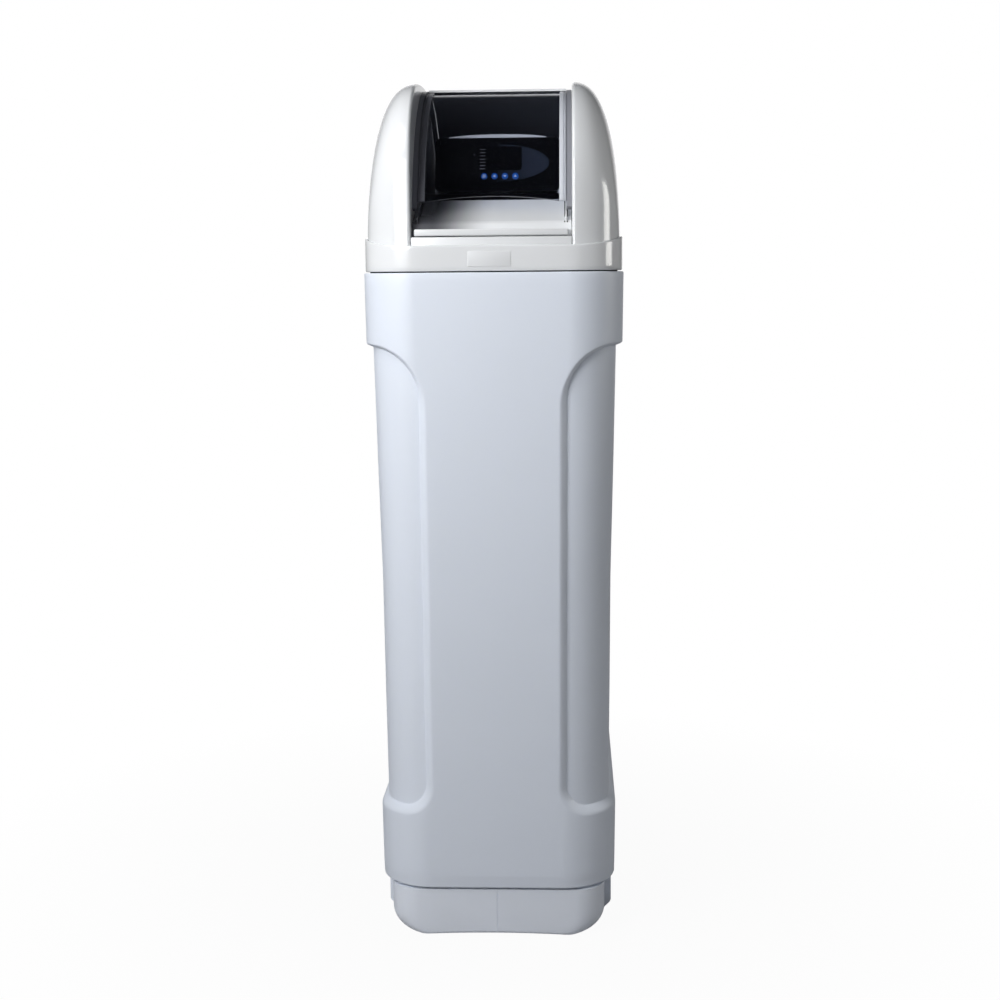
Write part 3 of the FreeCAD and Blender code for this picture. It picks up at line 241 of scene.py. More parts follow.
def tidy_mesh(piece, merge=1e-6):
    work = bmesh.new()
    work.from_mesh(piece.data)
    bmesh.ops.remove_doubles(work, verts=work.verts, dist=merge)
    bmesh.ops.dissolve_degenerate(work, edges=work.edges, dist=merge)
    bmesh.ops.recalc_face_normals(work, faces=work.faces)
    work.to_mesh(piece.data)
    work.free()


def shade(piece, angle=35.0):
    piece.data.shade_smooth()
    piece.data.set_sharp_from_angle(angle=radians(angle))


def finish_piece(piece, body, material, replaced=(), angle=35.0):
    tidy_mesh(piece)
    shade(piece, angle)
    piece.data.materials.clear()
    piece.data.materials.append(material)
    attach(piece, body)
    if replaced:
        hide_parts(*replaced)
    return piece


def finish_cabinet(piece, material, angle=30.0):
    return finish_piece(piece, "cabinet", material, ["cabinet_body"], angle)


# A second material for the faces that a test picks out.
def second_material(piece, material, picks):
    piece.data.materials.append(material)
    for face in piece.data.polygons:
        if picks(face):
            face.material_index = 1
    return piece


def baked(piece):
    graph = bpy.context.evaluated_depsgraph_get()
    mesh = bpy.data.meshes.new_from_object(piece.evaluated_get(graph))
    piece.modifiers.clear()
    piece.data = mesh
    return piece


def cut_away(piece, cutter, operation="DIFFERENCE"):
    step = piece.modifiers.new("cut", "BOOLEAN")
    step.operation = operation
    step.solver = "EXACT"
    step.object = cutter
    baked(piece)
    bpy.data.objects.remove(cutter)
    return piece


# Faces of a grid whose columns close on themselves; its first and last rows may be capped.
def tube_faces(rows, columns, caps=True):
    faces = []
    for i in range(rows - 1):
        for j in range(columns):
            k = (j + 1) % columns
            row, above = i * columns, (i + 1) * columns
            faces.append((row + j, row + k, above + k, above + j))
    if caps:
        faces.append(tuple(range(columns)))
        faces.append(tuple((rows - 1) * columns + j for j in reversed(range(columns))))
    return faces


def torus_faces(rows, columns):
    faces = tube_faces(rows, columns, False)
    last = (rows - 1) * columns
    for j in range(columns):
        k = (j + 1) % columns
        faces.append((last + j, last + k, k, j))
    return faces


# Closed tube through level rings, given as pairs of an outline and its height.
def stacked(name, rings):
    points = [(x, y, z) for line, z in rings for x, y in line]
    return object_from(name, points, tube_faces(len(rings), len(rings[0][0])))


def rounded_block(name, low, high, radius, segments=3):
    low = Vector([c * MM for c in low])
    high = Vector([c * MM for c in high])
    work = bmesh.new()
    bmesh.ops.create_cube(work, size=1.0)
    for v in work.verts:
        v.co = v.co * (high - low) + (low + high) / 2
    bmesh.ops.bevel(work, geom=work.edges[:], offset=radius * MM, segments=segments, profile=0.5,
                    affect="EDGES")
    piece = object_from(name, [], [])
    work.to_mesh(piece.data)
    work.free()
    return piece


# A closed outline of (y, z) points in millimetres pushed across from x0 to x1, its edges rounded.
def across(name, outline, x0, x1, radius, segments=3):
    count = len(outline)
    vertices = [(x, y, z) for x in (x0, x1) for y, z in outline]
    faces = [tuple(range(count)), tuple(reversed(range(count, 2 * count)))]
    for i in range(count):
        j = (i + 1) % count
        faces.append((i, i + count, j + count, j))
    piece = object_from(name, vertices, faces)
    tidy_mesh(piece)
    work = bmesh.new()
    work.from_mesh(piece.data)
    bmesh.ops.bevel(work, geom=work.edges[:], offset=radius * MM, segments=segments, profile=0.5,
                    affect="EDGES", clamp_overlap=True)
    work.to_mesh(piece.data)
    work.free()
    return piece


# Sets a node's inputs by name: to a plain value, or to other nodes' outputs.
def connect(tree, node, inputs):
    for label, value in inputs.items():
        for one in value if isinstance(value, list) else [value]:
            if isinstance(one, bpy.types.NodeSocket):
                tree.links.new(one, node.inputs[label])
            else:
                node.inputs[label].default_value = one
    return node


# Adds a node and gives its outputs.
def add_node(tree, kind, inputs=None, **settings):
    node = tree.nodes.new(kind)
    for label, value in settings.items():
        setattr(node, label, value)
    return connect(tree, node, inputs or {}).outputs


def math_node(tree, operation, a, b=0.0):
    return add_node(tree, "ShaderNodeMath", {0: a, 1: b}, operation=operation)["Value"]


def times(tree, a, b):
    return math_node(tree, "MULTIPLY", a, b)


def plus(tree, a, b):
    return math_node(tree, "ADD", a, b)


def axes_of(tree, vector):
    return add_node(tree, "ShaderNodeSeparateXYZ", {"Vector": vector})


# Geometry tree with named inputs besides the object's own mesh: gives it and its inputs' values.
def geometry_tree(name, sockets):
    tree = bpy.data.node_groups.new(name, "GeometryNodeTree")
    for label, kind in [("Geometry", "Geometry")] + sockets + [("Material", "Material")]:
        tree.interface.new_socket(label, in_out="INPUT", socket_type="NodeSocket" + kind)
    tree.interface.new_socket("Geometry", in_out="OUTPUT", socket_type="NodeSocketGeometry")
    return tree, add_node(tree, "NodeGroupInput")


def end_tree(tree, geometry, material):
    real = add_node(tree, "GeometryNodeRealizeInstances", {"Geometry": geometry})
    paint = add_node(tree, "GeometryNodeSetMaterial", {
        "Geometry": real["Geometry"], "Material": material})
    add_node(tree, "NodeGroupOutput", {"Geometry": paint["Geometry"]})
    return tree


# Node tree that sweeps the object's own closed section along an arc about the cover's axis.
def sweep_tree():
    tree, size = geometry_tree("section along an arc", [
        ("Radius", "Float"), ("Low Angle", "Float"), ("Sweep Angle", "Float"),
        ("Axis Height", "Float"),
        ("Steps", "Int")])
    arc = add_node(tree, "GeometryNodeCurveArc", {
        "Resolution": size["Steps"], "Radius": size["Radius"], "Start Angle": size["Low Angle"],
        "Sweep Angle": size["Sweep Angle"]}, mode="RADIUS")
    section = add_node(tree, "GeometryNodeMeshToCurve", {"Mesh": size["Geometry"]})
    sweep = add_node(tree, "GeometryNodeCurveToMesh", {
        "Curve": arc["Curve"], "Profile Curve": section["Curve"], "Fill Caps": True})
    lift = add_node(tree, "ShaderNodeCombineXYZ", {"Z": size["Axis Height"]})
    turn = add_node(tree, "GeometryNodeTransform", {
        "Geometry": sweep["Mesh"], "Translation": lift["Vector"],
        "Rotation": Matrix(((0, 0, -1), (-1, 0, 0), (0, 1, 0))).to_euler()})
    return end_tree(tree, turn["Geometry"], size["Material"])


SWEEP_TREE = sweep_tree()


def with_nodes(piece, tree, values):
    step = piece.modifiers.new("nodes", "NODES")
    step.node_group = tree
    items = tree.interface.items_tree
    sockets = {item.name: item.identifier for item in items if item.in_out == "INPUT"}
    for label, value in values.items():
        step[sockets[label]] = value
    return baked(piece)


# A closed section of (x, r) points in millimetres swept about the cover's axis.
def arc_sweep(name, section, low, high, steps, material):
    count = len(section)
    piece = object_from(name, [(r - PANE_RADIUS, x, 0) for x, r in section], [],
                        edges=[(i, (i + 1) % count) for i in range(count)])
    return with_nodes(piece, SWEEP_TREE, {
        "Radius": PANE_RADIUS * MM, "Low Angle": radians(low), "Sweep Angle": radians(high - low),
        "Axis Height": AXIS_Z * MM, "Steps": steps + 1, "Material": material})


def rounded_section(x0, x1, r0, r1, radius, steps=4):
    points = []
    for cx, cr, start in ((x1 - radius, r1 - radius, 0), (x0 + radius, r1 - radius, 90),
                          (x0 + radius, r0 + radius, 180), (x1 - radius, r0 + radius, 270)):
        for i in range(steps + 1):
            a = radians(start + 90 * i / steps)
            points.append((cx + radius * cos(a), cr + radius * sin(a)))
    return points


# Plan outline of a rounded rectangle as columns that line up between sections of any size. The
# front and rear stretches keep their x; the rest goes round by its share of the way to the side's
# middle.
FRONT_REACH = 112.0


def column_keys(fine):
    if not fine:
        front = list(np.linspace(0, 80, 5)) + [88.5, 96.0, 103.5, 108.0, FRONT_REACH]
        return front, list(np.linspace(0, 1, 22))[1:]
    front = list(np.linspace(0, PANEL_HALF_WIDTH - 3, 9))
    front += list(np.linspace(PANEL_HALF_WIDTH - 1, FRONT_REACH, 30))
    around = list(np.linspace(0, 0.25, 50))[1:] + list(np.linspace(0.25, 1, 16))[1:]
    return front, around


def quarter(half_x, half_y, radius, front, around):
    flat = half_x - radius
    points = []
    for x in front:
        y = half_y if x <= flat else half_y - radius + sqrt(radius ** 2 - (x - flat) ** 2)
        points.append((x, -y))
    start = asin(min(max((FRONT_REACH - flat) / radius, 0.0), 1.0))
    arc = radius * (pi / 2 - start)
    side = half_y - radius
    for share in around:
        way = share * (arc + side)
        if way < arc:
            a = start + way / radius
            points.append((flat + radius * sin(a), -(half_y - radius) - radius * cos(a)))
        else:
            points.append((half_x, -(side - (way - arc))))
    return points


def plan_ring(half_x, half_y, radius, fine=False):
    front, around = column_keys(fine)
    right = quarter(half_x, half_y, radius, front, around)
    right_rear = [(x, -y) for x, y in reversed(right[:-1])]
    half = right + right_rear
    left = [(-x, y) for x, y in reversed(half[1:-1])]
    return np.array(half + left)


def smooth_share(value):
    t = np.clip(value, 0.0, 1.0)
    return t * t * (3 - 2 * t)


# Cabinet body

def envelope(z):
    share = (z - BODY_FOOT_Z) / (BODY_TOP_Z - BODY_FOOT_Z)
    return (FOOT_HALF_WIDTH + share * (TOP_HALF_WIDTH - FOOT_HALF_WIDTH),
            FOOT_HALF_DEPTH + share * (TOP_HALF_DEPTH - FOOT_HALF_DEPTH))


def core(z):
    count = len(CORE_HALF_WIDTHS)
    share = min(max((z - RECESS_LOW_Z) / (RECESS_HIGH_Z - RECESS_LOW_Z), 0.0), 1.0) * (count - 1)
    half_x = np.interp(share, range(count), CORE_HALF_WIDTHS)
    return half_x, envelope(z)[1] - CORE_INSET


# How far a point of the front view lies inside the edge of the recess's floor, in millimetres.
def recess_depth(x, z):
    x = abs(x)
    top = RECESS_HIGH_Z
    low = RECESS_LOW_Z
    edge = RECESS_HALF_WIDTH + RECESS_FLARE * (z - low) / (top - low)
    if z > top - RECESS_HIGH_RADIUS and x < edge + RECESS_HIGH_RADIUS:
        gap = hypot(x - edge - RECESS_HIGH_RADIUS, z - top + RECESS_HIGH_RADIUS)
        return RECESS_HIGH_RADIUS - gap
    if z < low + RECESS_LOW_RADIUS and x < edge + RECESS_LOW_RADIUS:
        gap = hypot(x - edge - RECESS_LOW_RADIUS, z - low - RECESS_LOW_RADIUS)
        return RECESS_LOW_RADIUS - gap
    return min(x - edge, top - z, z - low)


# The lip's width: narrow along the recess's top, wide down its side.
def lip_width(z):
    wide = LIP_TOP + (BEVEL_WIDTH - LIP_TOP) * smooth_share((RECESS_HIGH_Z - 28 - z) / 50)
    return wide + (LIP_LOW - wide) * smooth_share((RECESS_LOW_Z + 45 - z) / 40)


# Share of the way to the recess's floor: a rounded lip that steepens into a short wall.
def lip_share(depth, width):
    t = np.clip(1 + depth / width, 0.0, 1.0)
    lip = (1 - np.sqrt(1 - (LIP_TURN * t) ** 2)) / (1 - sqrt(1 - LIP_TURN ** 2))
    return LIP_SOFT_SHARE * smooth_share(t) + (1 - LIP_SOFT_SHARE) * lip


def body_rows():
    rows = [BODY_FOOT_Z + FOOT_EDGE_RADIUS * (1 - cos(radians(a))) for a in range(0, 91, 15)]
    rows += [CREASE_Z - 0.8, CREASE_Z]
    rows += list(np.linspace(CREASE_Z + 5, RECESS_LOW_Z - LIP_LOW - 4, 10))
    rows += list(np.linspace(RECESS_LOW_Z - LIP_LOW - 1, RECESS_LOW_Z + RECESS_LOW_RADIUS + 4, 50))
    rows += list(np.linspace(RECESS_LOW_Z + 60, RECESS_HIGH_Z - RECESS_HIGH_RADIUS - 20, 22))
    round_low_z = RECESS_HIGH_Z - RECESS_HIGH_RADIUS - 4
    rows += list(np.linspace(round_low_z, RECESS_HIGH_Z + LIP_TOP + 1, 76))
    rows += list(np.linspace(RECESS_HIGH_Z + LIP_TOP + 6, BODY_TOP_Z - RIM_EDGE_RADIUS, 9))
    rows += [BODY_TOP_Z - RIM_EDGE_RADIUS * (1 - sin(radians(a))) for a in (30, 60, 90)]
    return rows


def edge_inset(z):
    if z < BODY_FOOT_Z + FOOT_EDGE_RADIUS:
        up = (BODY_FOOT_Z + FOOT_EDGE_RADIUS - z) / FOOT_EDGE_RADIUS
        return FOOT_EDGE_RADIUS * (1 - sqrt(max(1 - up ** 2, 0.0)))
    if z > BODY_TOP_Z - RIM_EDGE_RADIUS:
        up = (z - BODY_TOP_Z + RIM_EDGE_RADIUS) / RIM_EDGE_RADIUS
        return RIM_EDGE_RADIUS * (1 - sqrt(max(1 - up ** 2, 0.0)))
    return 0.0


def body_outside():
    rings = []
    for z in body_rows():
        half_x, half_y = envelope(z)
        inset = edge_inset(z) + CREASE_DEPTH * smooth_share((CREASE_Z - z) / 0.8)
        outer = plan_ring(half_x - inset, half_y - inset, BODY_CORNER - inset, True)
        core_x, core_y = core(z)
        inner = plan_ring(core_x, core_y, BODY_CORNER - CORE_INSET, True)
        depth = np.array([recess_depth(x, z) for x, _ in outer])
        mix = lip_share(depth, lip_width(z))[:, None]
        rings.append((outer * (1 - mix) + inner * mix, z))
    return stacked("cabinet_shell", rings)


def body_cavity():
    rings = []
    for z in np.linspace(BODY_FOOT_Z + 5, RECESS_HIGH_Z, 12):
        half_x, half_y = core(z)
        radius = BODY_CORNER - CORE_INSET - BODY_WALL
        rings.append((plan_ring(half_x - BODY_WALL, half_y - BODY_WALL, radius), z))
    for level, above, wall in ((MOUTH_Z, 0, RIM_WALL + 1), (BODY_TOP_Z, 3, RIM_WALL)):
        half_x, half_y = envelope(level)
        ring = plan_ring(half_x - wall, half_y - wall, BODY_CORNER - RIM_WALL)
        rings.append((ring, level + above))
    piece = stacked("cavity", rings)
    tidy_mesh(piece)
    half = BAY_HALF_WIDTH + BODY_WALL
    return cut_away(piece, rounded_block("bay_wall", (-half, BAY_WALL_Y, BAY_LOW_Z - BODY_WALL),
                                         (half, BAY_CUT_REAR_Y, BAY_CUT_TOP_Z), 4))


def cabinet_shell(material):
    piece = body_outside()
    tidy_mesh(piece)
    cut_away(piece, body_cavity())
    cut_away(piece, rounded_block("bay", (-BAY_HALF_WIDTH, BAY_FLOOR_Y, BAY_LOW_Z),
                                  (BAY_HALF_WIDTH, BAY_CUT_REAR_Y, BAY_CUT_TOP_Z), 5))
    return finish_cabinet(piece, material)


# Foot: a front block with two large round lower corners, and a wider bevelled block behind it.
def foot_front(material):
    low = PAD_HEIGHT - 1.1
    half = PLINTH_FRONT_HALF_WIDTH
    front_y = -(FOOT_HALF_DEPTH - PLINTH_SETBACK)
    rear_y = front_y + PLINTH_FRONT_DEPTH + 6
    r = PLINTH_CORNER
    outline = []
    for i in range(13):
        a = radians(270 + 90 * i / 12)
        outline.append((half - r + r * cos(a), low + r + r * sin(a)))
    outline += [(half, 45), (half, 55), (half, FOOT_TOP_Z)]
    flat = half - r
    arch = [(flat * i / 8, low + FOOT_ARCH * (1 - (i / 8) ** 2)) for i in range(8)]
    outline = arch + outline
    outline = [(-x, z) for x, z in reversed(outline[1:])] + outline
    # The outline repeats from front to rear; near the front the plan's round corner narrows it.
    edge = FOOT_FACE_EDGE
    vertices = []
    ys = [front_y + edge * (1 - cos(radians(a))) for a in range(0, 91, 15)]
    ys += list(np.linspace(front_y + edge + 3, front_y + PLINTH_PLAN_RADIUS, 10)) + [rear_y]
    for y in ys:
        back = y - front_y
        face_in = edge - sqrt(max(edge ** 2 - (edge - min(back, edge)) ** 2, 0.0))
        plan_in = 0.0
        if back < PLINTH_PLAN_RADIUS:
            left = PLINTH_PLAN_RADIUS - back
            plan_in = PLINTH_PLAN_RADIUS - sqrt(PLINTH_PLAN_RADIUS ** 2 - left ** 2)
        share = (half - max(face_in, plan_in)) / half
        for x, z in outline:
            lift = face_in * max(0.0, 1 - (z - low) / 40)
            vertices.append((x * share, y, min(z + lift, FOOT_TOP_Z)))
    piece = object_from("foot_front", vertices, tube_faces(len(ys), len(outline)))
    tidy_mesh(piece)
    seam = rounded_block("seam", (-SEAM_HALF_WIDTH, front_y - 1, 8),
                         (SEAM_HALF_WIDTH, front_y + SEAM_DEPTH, 60), 0.1)
    cut_away(piece, seam)
    return finish_cabinet(piece, material, 40)


# Narrow neck that joins the foot to the body and leaves a shadow line between them.
def foot_neck(material):
    half_y = FOOT_HALF_DEPTH - PLINTH_SETBACK - NECK_INSET
    line = plan_ring(PLINTH_FRONT_HALF_WIDTH - NECK_INSET, half_y, PLINTH_PLAN_RADIUS - NECK_INSET)
    piece = stacked("foot_neck", [(line, FOOT_TOP_Z - NECK_REACH), (line, FOOT_TOP_Z + NECK_REACH)])
    return finish_cabinet(piece, material)


def foot_rear(material):
    half_x = PLINTH_HALF_WIDTH
    half_y = FOOT_HALF_DEPTH - PLINTH_SETBACK
    bevel_z = PAD_HEIGHT + PLINTH_BEVEL
    rows = [(PLINTH_BEVEL, PAD_HEIGHT), (1.5, bevel_z - 1.5), (0, bevel_z + 2), (0, FOOT_TOP_Z)]
    piece = stacked("foot_rear", [(plan_ring(half_x - inset, half_y - inset, PLINTH_PLAN_RADIUS), z)
                                  for inset, z in rows])
    tidy_mesh(piece)
    keep = rounded_block("keep", (-200, PLINTH_FRONT_DEPTH - half_y, -10),
                         (200, BEYOND_REAR_Y, 100), 3)
    cut_away(piece, keep, "INTERSECT")
    return finish_cabinet(piece, material)


# Lid ring

def ring_profile():
    low = RING_LOW_Z
    high = RING_HIGH_Z
    lip = RING_LIP
    r = 1.4
    points = [(1.3, low), (0.45, low + 0.35), (0.0, low + 1.2)]
    points += [(0.0, z) for z in np.linspace(low + 6, high - 8, 5)]
    for a in map(radians, (0, 22, 45, 67, 90)):
        points.append((r - r * cos(a), high - r + r * sin(a)))
    for a in map(radians, (0, 30, 60, 90)):
        points.append((lip - r + r * sin(a), high - r + r * cos(a)))
    points += [(lip, high - 8), (lip, RING_LEDGE_Z), (RING_LEDGE_WIDTH, RING_LEDGE_Z),
               (RING_LEDGE_WIDTH, low), (SPIGOT_INSET + SPIGOT_WALL, low - 1),
               (SPIGOT_INSET + SPIGOT_WALL, SPIGOT_LOW_Z), (SPIGOT_INSET, SPIGOT_LOW_Z),
               (SPIGOT_INSET, low)]
    return points


def lid_ring(material, seam_shade):
    vertices = []
    profile = ring_profile()
    slope_end = RING_SLOPE - RING_HALF_DEPTH
    for inset, z in profile:
        line = plan_ring(RING_HALF_WIDTH - inset, RING_HALF_DEPTH - inset, RING_CORNER - inset)
        for x, y in line:
            share = min(max((slope_end - y) / RING_SLOPE, 0.0), 1.0)
            top = max(z - RING_LOW_Z - 16, 0.0) / (RING_HIGH_Z - RING_LOW_Z - 16)
            drop = RING_DROP * share * top
            vertices.append((x, y, z - drop))
    piece = object_from("lid_band", vertices, torus_faces(len(profile), len(line)))
    tidy_mesh(piece)
    notch = rounded_block("notch", (-NOTCH_HALF_WIDTH, NOTCH_FRONT_Y, 840),
                          (NOTCH_HALF_WIDTH, BEYOND_REAR_Y, 930), 3)
    cut_away(piece, notch)
    finish_piece(piece, "lid", material, ["lid_ring"], 32)
    # The spigot's faces below the ring are painted black seal rubber: painted shade in the seam
    # between ring and body.
    return second_material(piece, seam_shade, lambda face: face.center.z < (RING_LOW_Z - 0.3) * MM)


# Cheeks

def arch_line(half_depth, height, steps=18):
    shoulder = CHEEK_SHOULDER * min(half_depth, height)
    crown = half_depth ** 2 / (2 * CHEEK_CROWN * height)
    reach = half_depth - shoulder
    centre = height - crown + sqrt((crown - shoulder) ** 2 - reach ** 2)
    lean = asin(reach / (crown - shoulder))
    points = [(-half_depth, centre * i / 6) for i in range(6)]
    for i in range(steps):
        a = (pi / 2 - lean) * i / steps
        points.append((-reach - shoulder * cos(a), centre + shoulder * sin(a)))
    for i in range(steps + 1):
        a = lean * (1 - i / steps)
        points.append((-crown * sin(a), height - crown + crown * cos(a)))
    return points + [(-y, z) for y, z in reversed(points[:-1])]


def cheek_station(share, top_share):
    x = CHEEK_INNER_X + share * (CHEEK_OUTER_X - CHEEK_INNER_X)
    top = CHEEK_LOW_TOP_Z + (CHEEK_TOP_Z - CHEEK_LOW_TOP_Z) * top_share
    centre = CHEEK_OUTER_X - CHEEK_PLAN_RADIUS
    depth = CHEEK_HALF_DEPTH
    if x > centre:
        depth += sqrt(max(CHEEK_PLAN_RADIUS ** 2 - (x - centre) ** 2, 0.0)) - CHEEK_PLAN_RADIUS
    return x, depth, top - CHEEK_BASE_Z


def cheek(name, side, material, node):
    lines = []
    steps = 44
    for i in range(steps + 1):
        a = pi / 2 * i / steps
        share = sin(a) ** (2 / CHEEK_POWER)
        top_share = cos(a) ** (2 / CHEEK_POWER) if i < steps else 0.0
        x, depth, height = cheek_station(share, top_share)
        offset = x - CHEEK_INNER_X
        if offset < RIM_ROUND:
            continue
        lines.append((x, arch_line(depth, height)))
    rim = []
    for i in range(8):
        a = pi / 2 * i / 7
        inward = RIM_ROUND * (1 - sin(a))
        x = CHEEK_INNER_X + RIM_ROUND * (1 - cos(a))
        share = (x - CHEEK_INNER_X) / (CHEEK_OUTER_X - CHEEK_INNER_X)
        top_share = (1 - share ** CHEEK_POWER) ** (1 / CHEEK_POWER)
        _, depth, height = cheek_station(share, top_share)
        rim.append((x, arch_line(depth - inward, height - inward)))
    lines = rim + lines
    vertices = []
    for x, line in lines:
        vertices += [(side * x, y, CHEEK_BASE_Z + z) for y, z in line]
    piece = object_from(name, vertices, tube_faces(len(lines), len(line)))
    return finish_piece(piece, "lid", material, [node], 50)


# Sliding cover and what guides it

# Node tree of the curved sheet: a grid bent about the cover's axis with an arched lower edge, and
# thickened.
def pane_tree():
    lengths = ("Half Width", "Radius", "Thickness", "Low Angle", "High Angle", "Arch Angle",
               "Axis Height")
    tree, size = geometry_tree("curved pane", [(label, "Float") for label in lengths]
                               + [("Columns", "Int"), ("Rows", "Int")])
    grid = add_node(tree, "GeometryNodeMeshGrid", {
        "Size X": times(tree, size["Half Width"], 2.0), "Size Y": 1.0,
        "Vertices X": size["Columns"],
        "Vertices Y": size["Rows"]})
    flat = axes_of(tree, add_node(tree, "GeometryNodeInputPosition")["Position"])
    share = math_node(tree, "DIVIDE", flat["X"], size["Half Width"])
    fall = math_node(tree, "SUBTRACT", 1.0, times(tree, share, share))
    low = plus(tree, size["Low Angle"], times(tree, fall, size["Arch Angle"]))
    whole = math_node(tree, "SUBTRACT", size["High Angle"], low)
    angle = plus(tree, low, times(tree, whole, plus(tree, flat["Y"], 0.5)))
    back = times(tree, math_node(tree, "COSINE", angle), size["Radius"])
    rise = times(tree, math_node(tree, "SINE", angle), size["Radius"])
    bent = add_node(tree, "ShaderNodeCombineXYZ", {
        "X": flat["X"], "Y": times(tree, back, -1.0), "Z": plus(tree, rise, size["Axis Height"])})
    bend = add_node(tree, "GeometryNodeSetPosition", {
        "Geometry": grid["Mesh"], "Position": bent["Vector"]})["Geometry"]
    thick = add_node(tree, "GeometryNodeExtrudeMesh", {
        "Mesh": bend, "Individual": False, "Offset Scale": times(tree, size["Thickness"], -1.0)})
    both = add_node(tree, "GeometryNodeJoinGeometry", {"Geometry": [thick["Mesh"], bend]})
    weld = add_node(tree, "GeometryNodeMergeByDistance", {
        "Geometry": both["Geometry"], "Distance": WELD_DISTANCE})
    return end_tree(tree, weld["Geometry"], size["Material"])


PANE_TREE = pane_tree()


# Way from the cover's axis to a face's middle, and its lean above the level way to the front.
def from_axis(face):
    out = Vector((0, face.center.y, face.center.z - AXIS_Z * MM))
    return out, degrees(atan2(out.z, -out.y))


def pane(material, edge_material):
    piece = object_from("smoked_pane", [], [])
    low = radians(PANE_LOW_ANGLE)
    with_nodes(piece, PANE_TREE, {
        "Half Width": (RUNNER_INNER_X - 0.05) * MM, "Radius": PANE_RADIUS * MM,
        "Thickness": PANE_THICKNESS * MM, "Low Angle": low, "High Angle": radians(PANE_HIGH_ANGLE),
        "Arch Angle": PANE_ARCH / (PANE_RADIUS * cos(low)), "Axis Height": AXIS_Z * MM,
        "Columns": 41, "Rows": 61, "Material": material})
    finish_piece(piece, "cover", material, ["smoked_cover"], 40)

    def on_low_edge(face):
        out, lean = from_axis(face)
        return lean < PANE_LOW_ANGLE + 2 and abs(face.normal.dot(out.normalized())) < 0.5

    return second_material(piece, edge_material, on_low_edge)


def runner(name, side, material, node):
    top = PANE_RADIUS + RUNNER_HEIGHT
    low = PANE_RADIUS - PANE_THICKNESS - 0.2
    strip = rounded_section(RUNNER_INNER_X, RUNNER_OUTER_X, low, top, 1.1)
    dent = ((0.7, 0), (0.6, 1.3), (-0.6, 1.3), (-0.7, 0))
    groove = [(RUNNER_GROOVE_X + a, top - b) for a, b in dent]
    strip = strip[:5] + groove + strip[5:]
    strip = [(side * x, r) for x, r in strip]
    piece = arc_sweep(name, strip, PANE_LOW_ANGLE, PANE_HIGH_ANGLE, 60, material)
    tongue = rounded_section(RUNNER_OUTER_X - 1.5, TONGUE_X, PANE_RADIUS - PANE_THICKNESS,
                             PANE_RADIUS, 0.5)
    other = arc_sweep(name + "_tongue", [(side * x, r) for x, r in tongue], PANE_LOW_ANGLE + 0.1,
                      PANE_HIGH_ANGLE - 0.1, 60, material)
    tidy_mesh(piece)
    tidy_mesh(other)
    cut_away(piece, other, "UNION")
    return finish_piece(piece, "cover", material, [node], 35)


def rail(name, side, material, node):
    low = PANE_RADIUS - PANE_THICKNESS - 0.5
    high = PANE_RADIUS + 0.5
    section = [(RAIL_OUTER_X, low - RAIL_FLANGE), (RAIL_OUTER_X, high + RAIL_FLANGE),
               (RAIL_INNER_X, high + RAIL_FLANGE), (RAIL_INNER_X, high), (RAIL_BASE_X, high),
               (RAIL_BASE_X, low), (RAIL_INNER_X, low), (RAIL_INNER_X, low - RAIL_FLANGE)]
    section = [(side * x, r) for x, r in section]
    piece = arc_sweep(name, section, RAIL_LOW_ANGLE, RAIL_HIGH_ANGLE, 120, material)
    return finish_piece(piece, "lid", material, [node], 35)


# The hood's inner faces get a dark paint: painted shade for the dark inside under the hood.
def rear_hood(material, shade_paint):
    section = rounded_section(-HOOD_HALF_WIDTH, HOOD_HALF_WIDTH, HOOD_RADIUS - HOOD_WALL,
                              HOOD_RADIUS, 1.2)
    piece = arc_sweep("hood", section, HOOD_LOW_ANGLE, HOOD_HIGH_ANGLE, 90, material)
    tidy_mesh(piece)
    notch = rounded_block("notch", (-NOTCH_HALF_WIDTH, 150, 800),
                          (NOTCH_HALF_WIDTH, BEYOND_REAR_Y, HOOD_NOTCH_TOP), 6)
    cut_away(piece, notch)
    finish_piece(piece, "lid", material, ["rear_hood"], 35)

    def on_shaded_inside(face):
        out, lean = from_axis(face)
        inner = out.length < (HOOD_RADIUS - 0.3) * MM
        return inner and HOOD_LOW_ANGLE + 0.6 < lean < HOOD_HIGH_ANGLE - 0.6

    return second_material(piece, shade_paint, on_shaded_inside)


def tray_outline():
    y0 = TRAY_FRONT_Y
    sill_rear = y0 + TRAY_SILL_DEPTH
    fold_y, fold_z = TRAY_FOLD
    rear_y, rear_z = TRAY_REAR
    slope = hypot(rear_y - fold_y, rear_z - fold_z)
    band_y = TRAY_BAND_Y
    band_z = fold_z + (rear_z - fold_z) * (band_y - fold_y) / (rear_y - fold_y)
    ny = TRAY_WALL * (rear_z - fold_z) / slope
    nz = TRAY_WALL * (rear_y - fold_y) / slope
    return [(y0, CHEEK_BASE_Z), (y0, TRAY_SILL_Z), (sill_rear, TRAY_SILL_Z),
            (fold_y - 4, fold_z - 3), (fold_y, fold_z), (band_y, band_z), (rear_y, rear_z),
            (rear_y, rear_z - 12),
            (rear_y - 2, rear_z - 12), (rear_y - 2, rear_z - 2 - nz), (fold_y + ny, fold_z - nz),
            (sill_rear + 2, TRAY_SILL_Z - 6),
            (y0 + TRAY_WALL, TRAY_SILL_Z - 4), (y0 + TRAY_WALL, CHEEK_BASE_Z)]


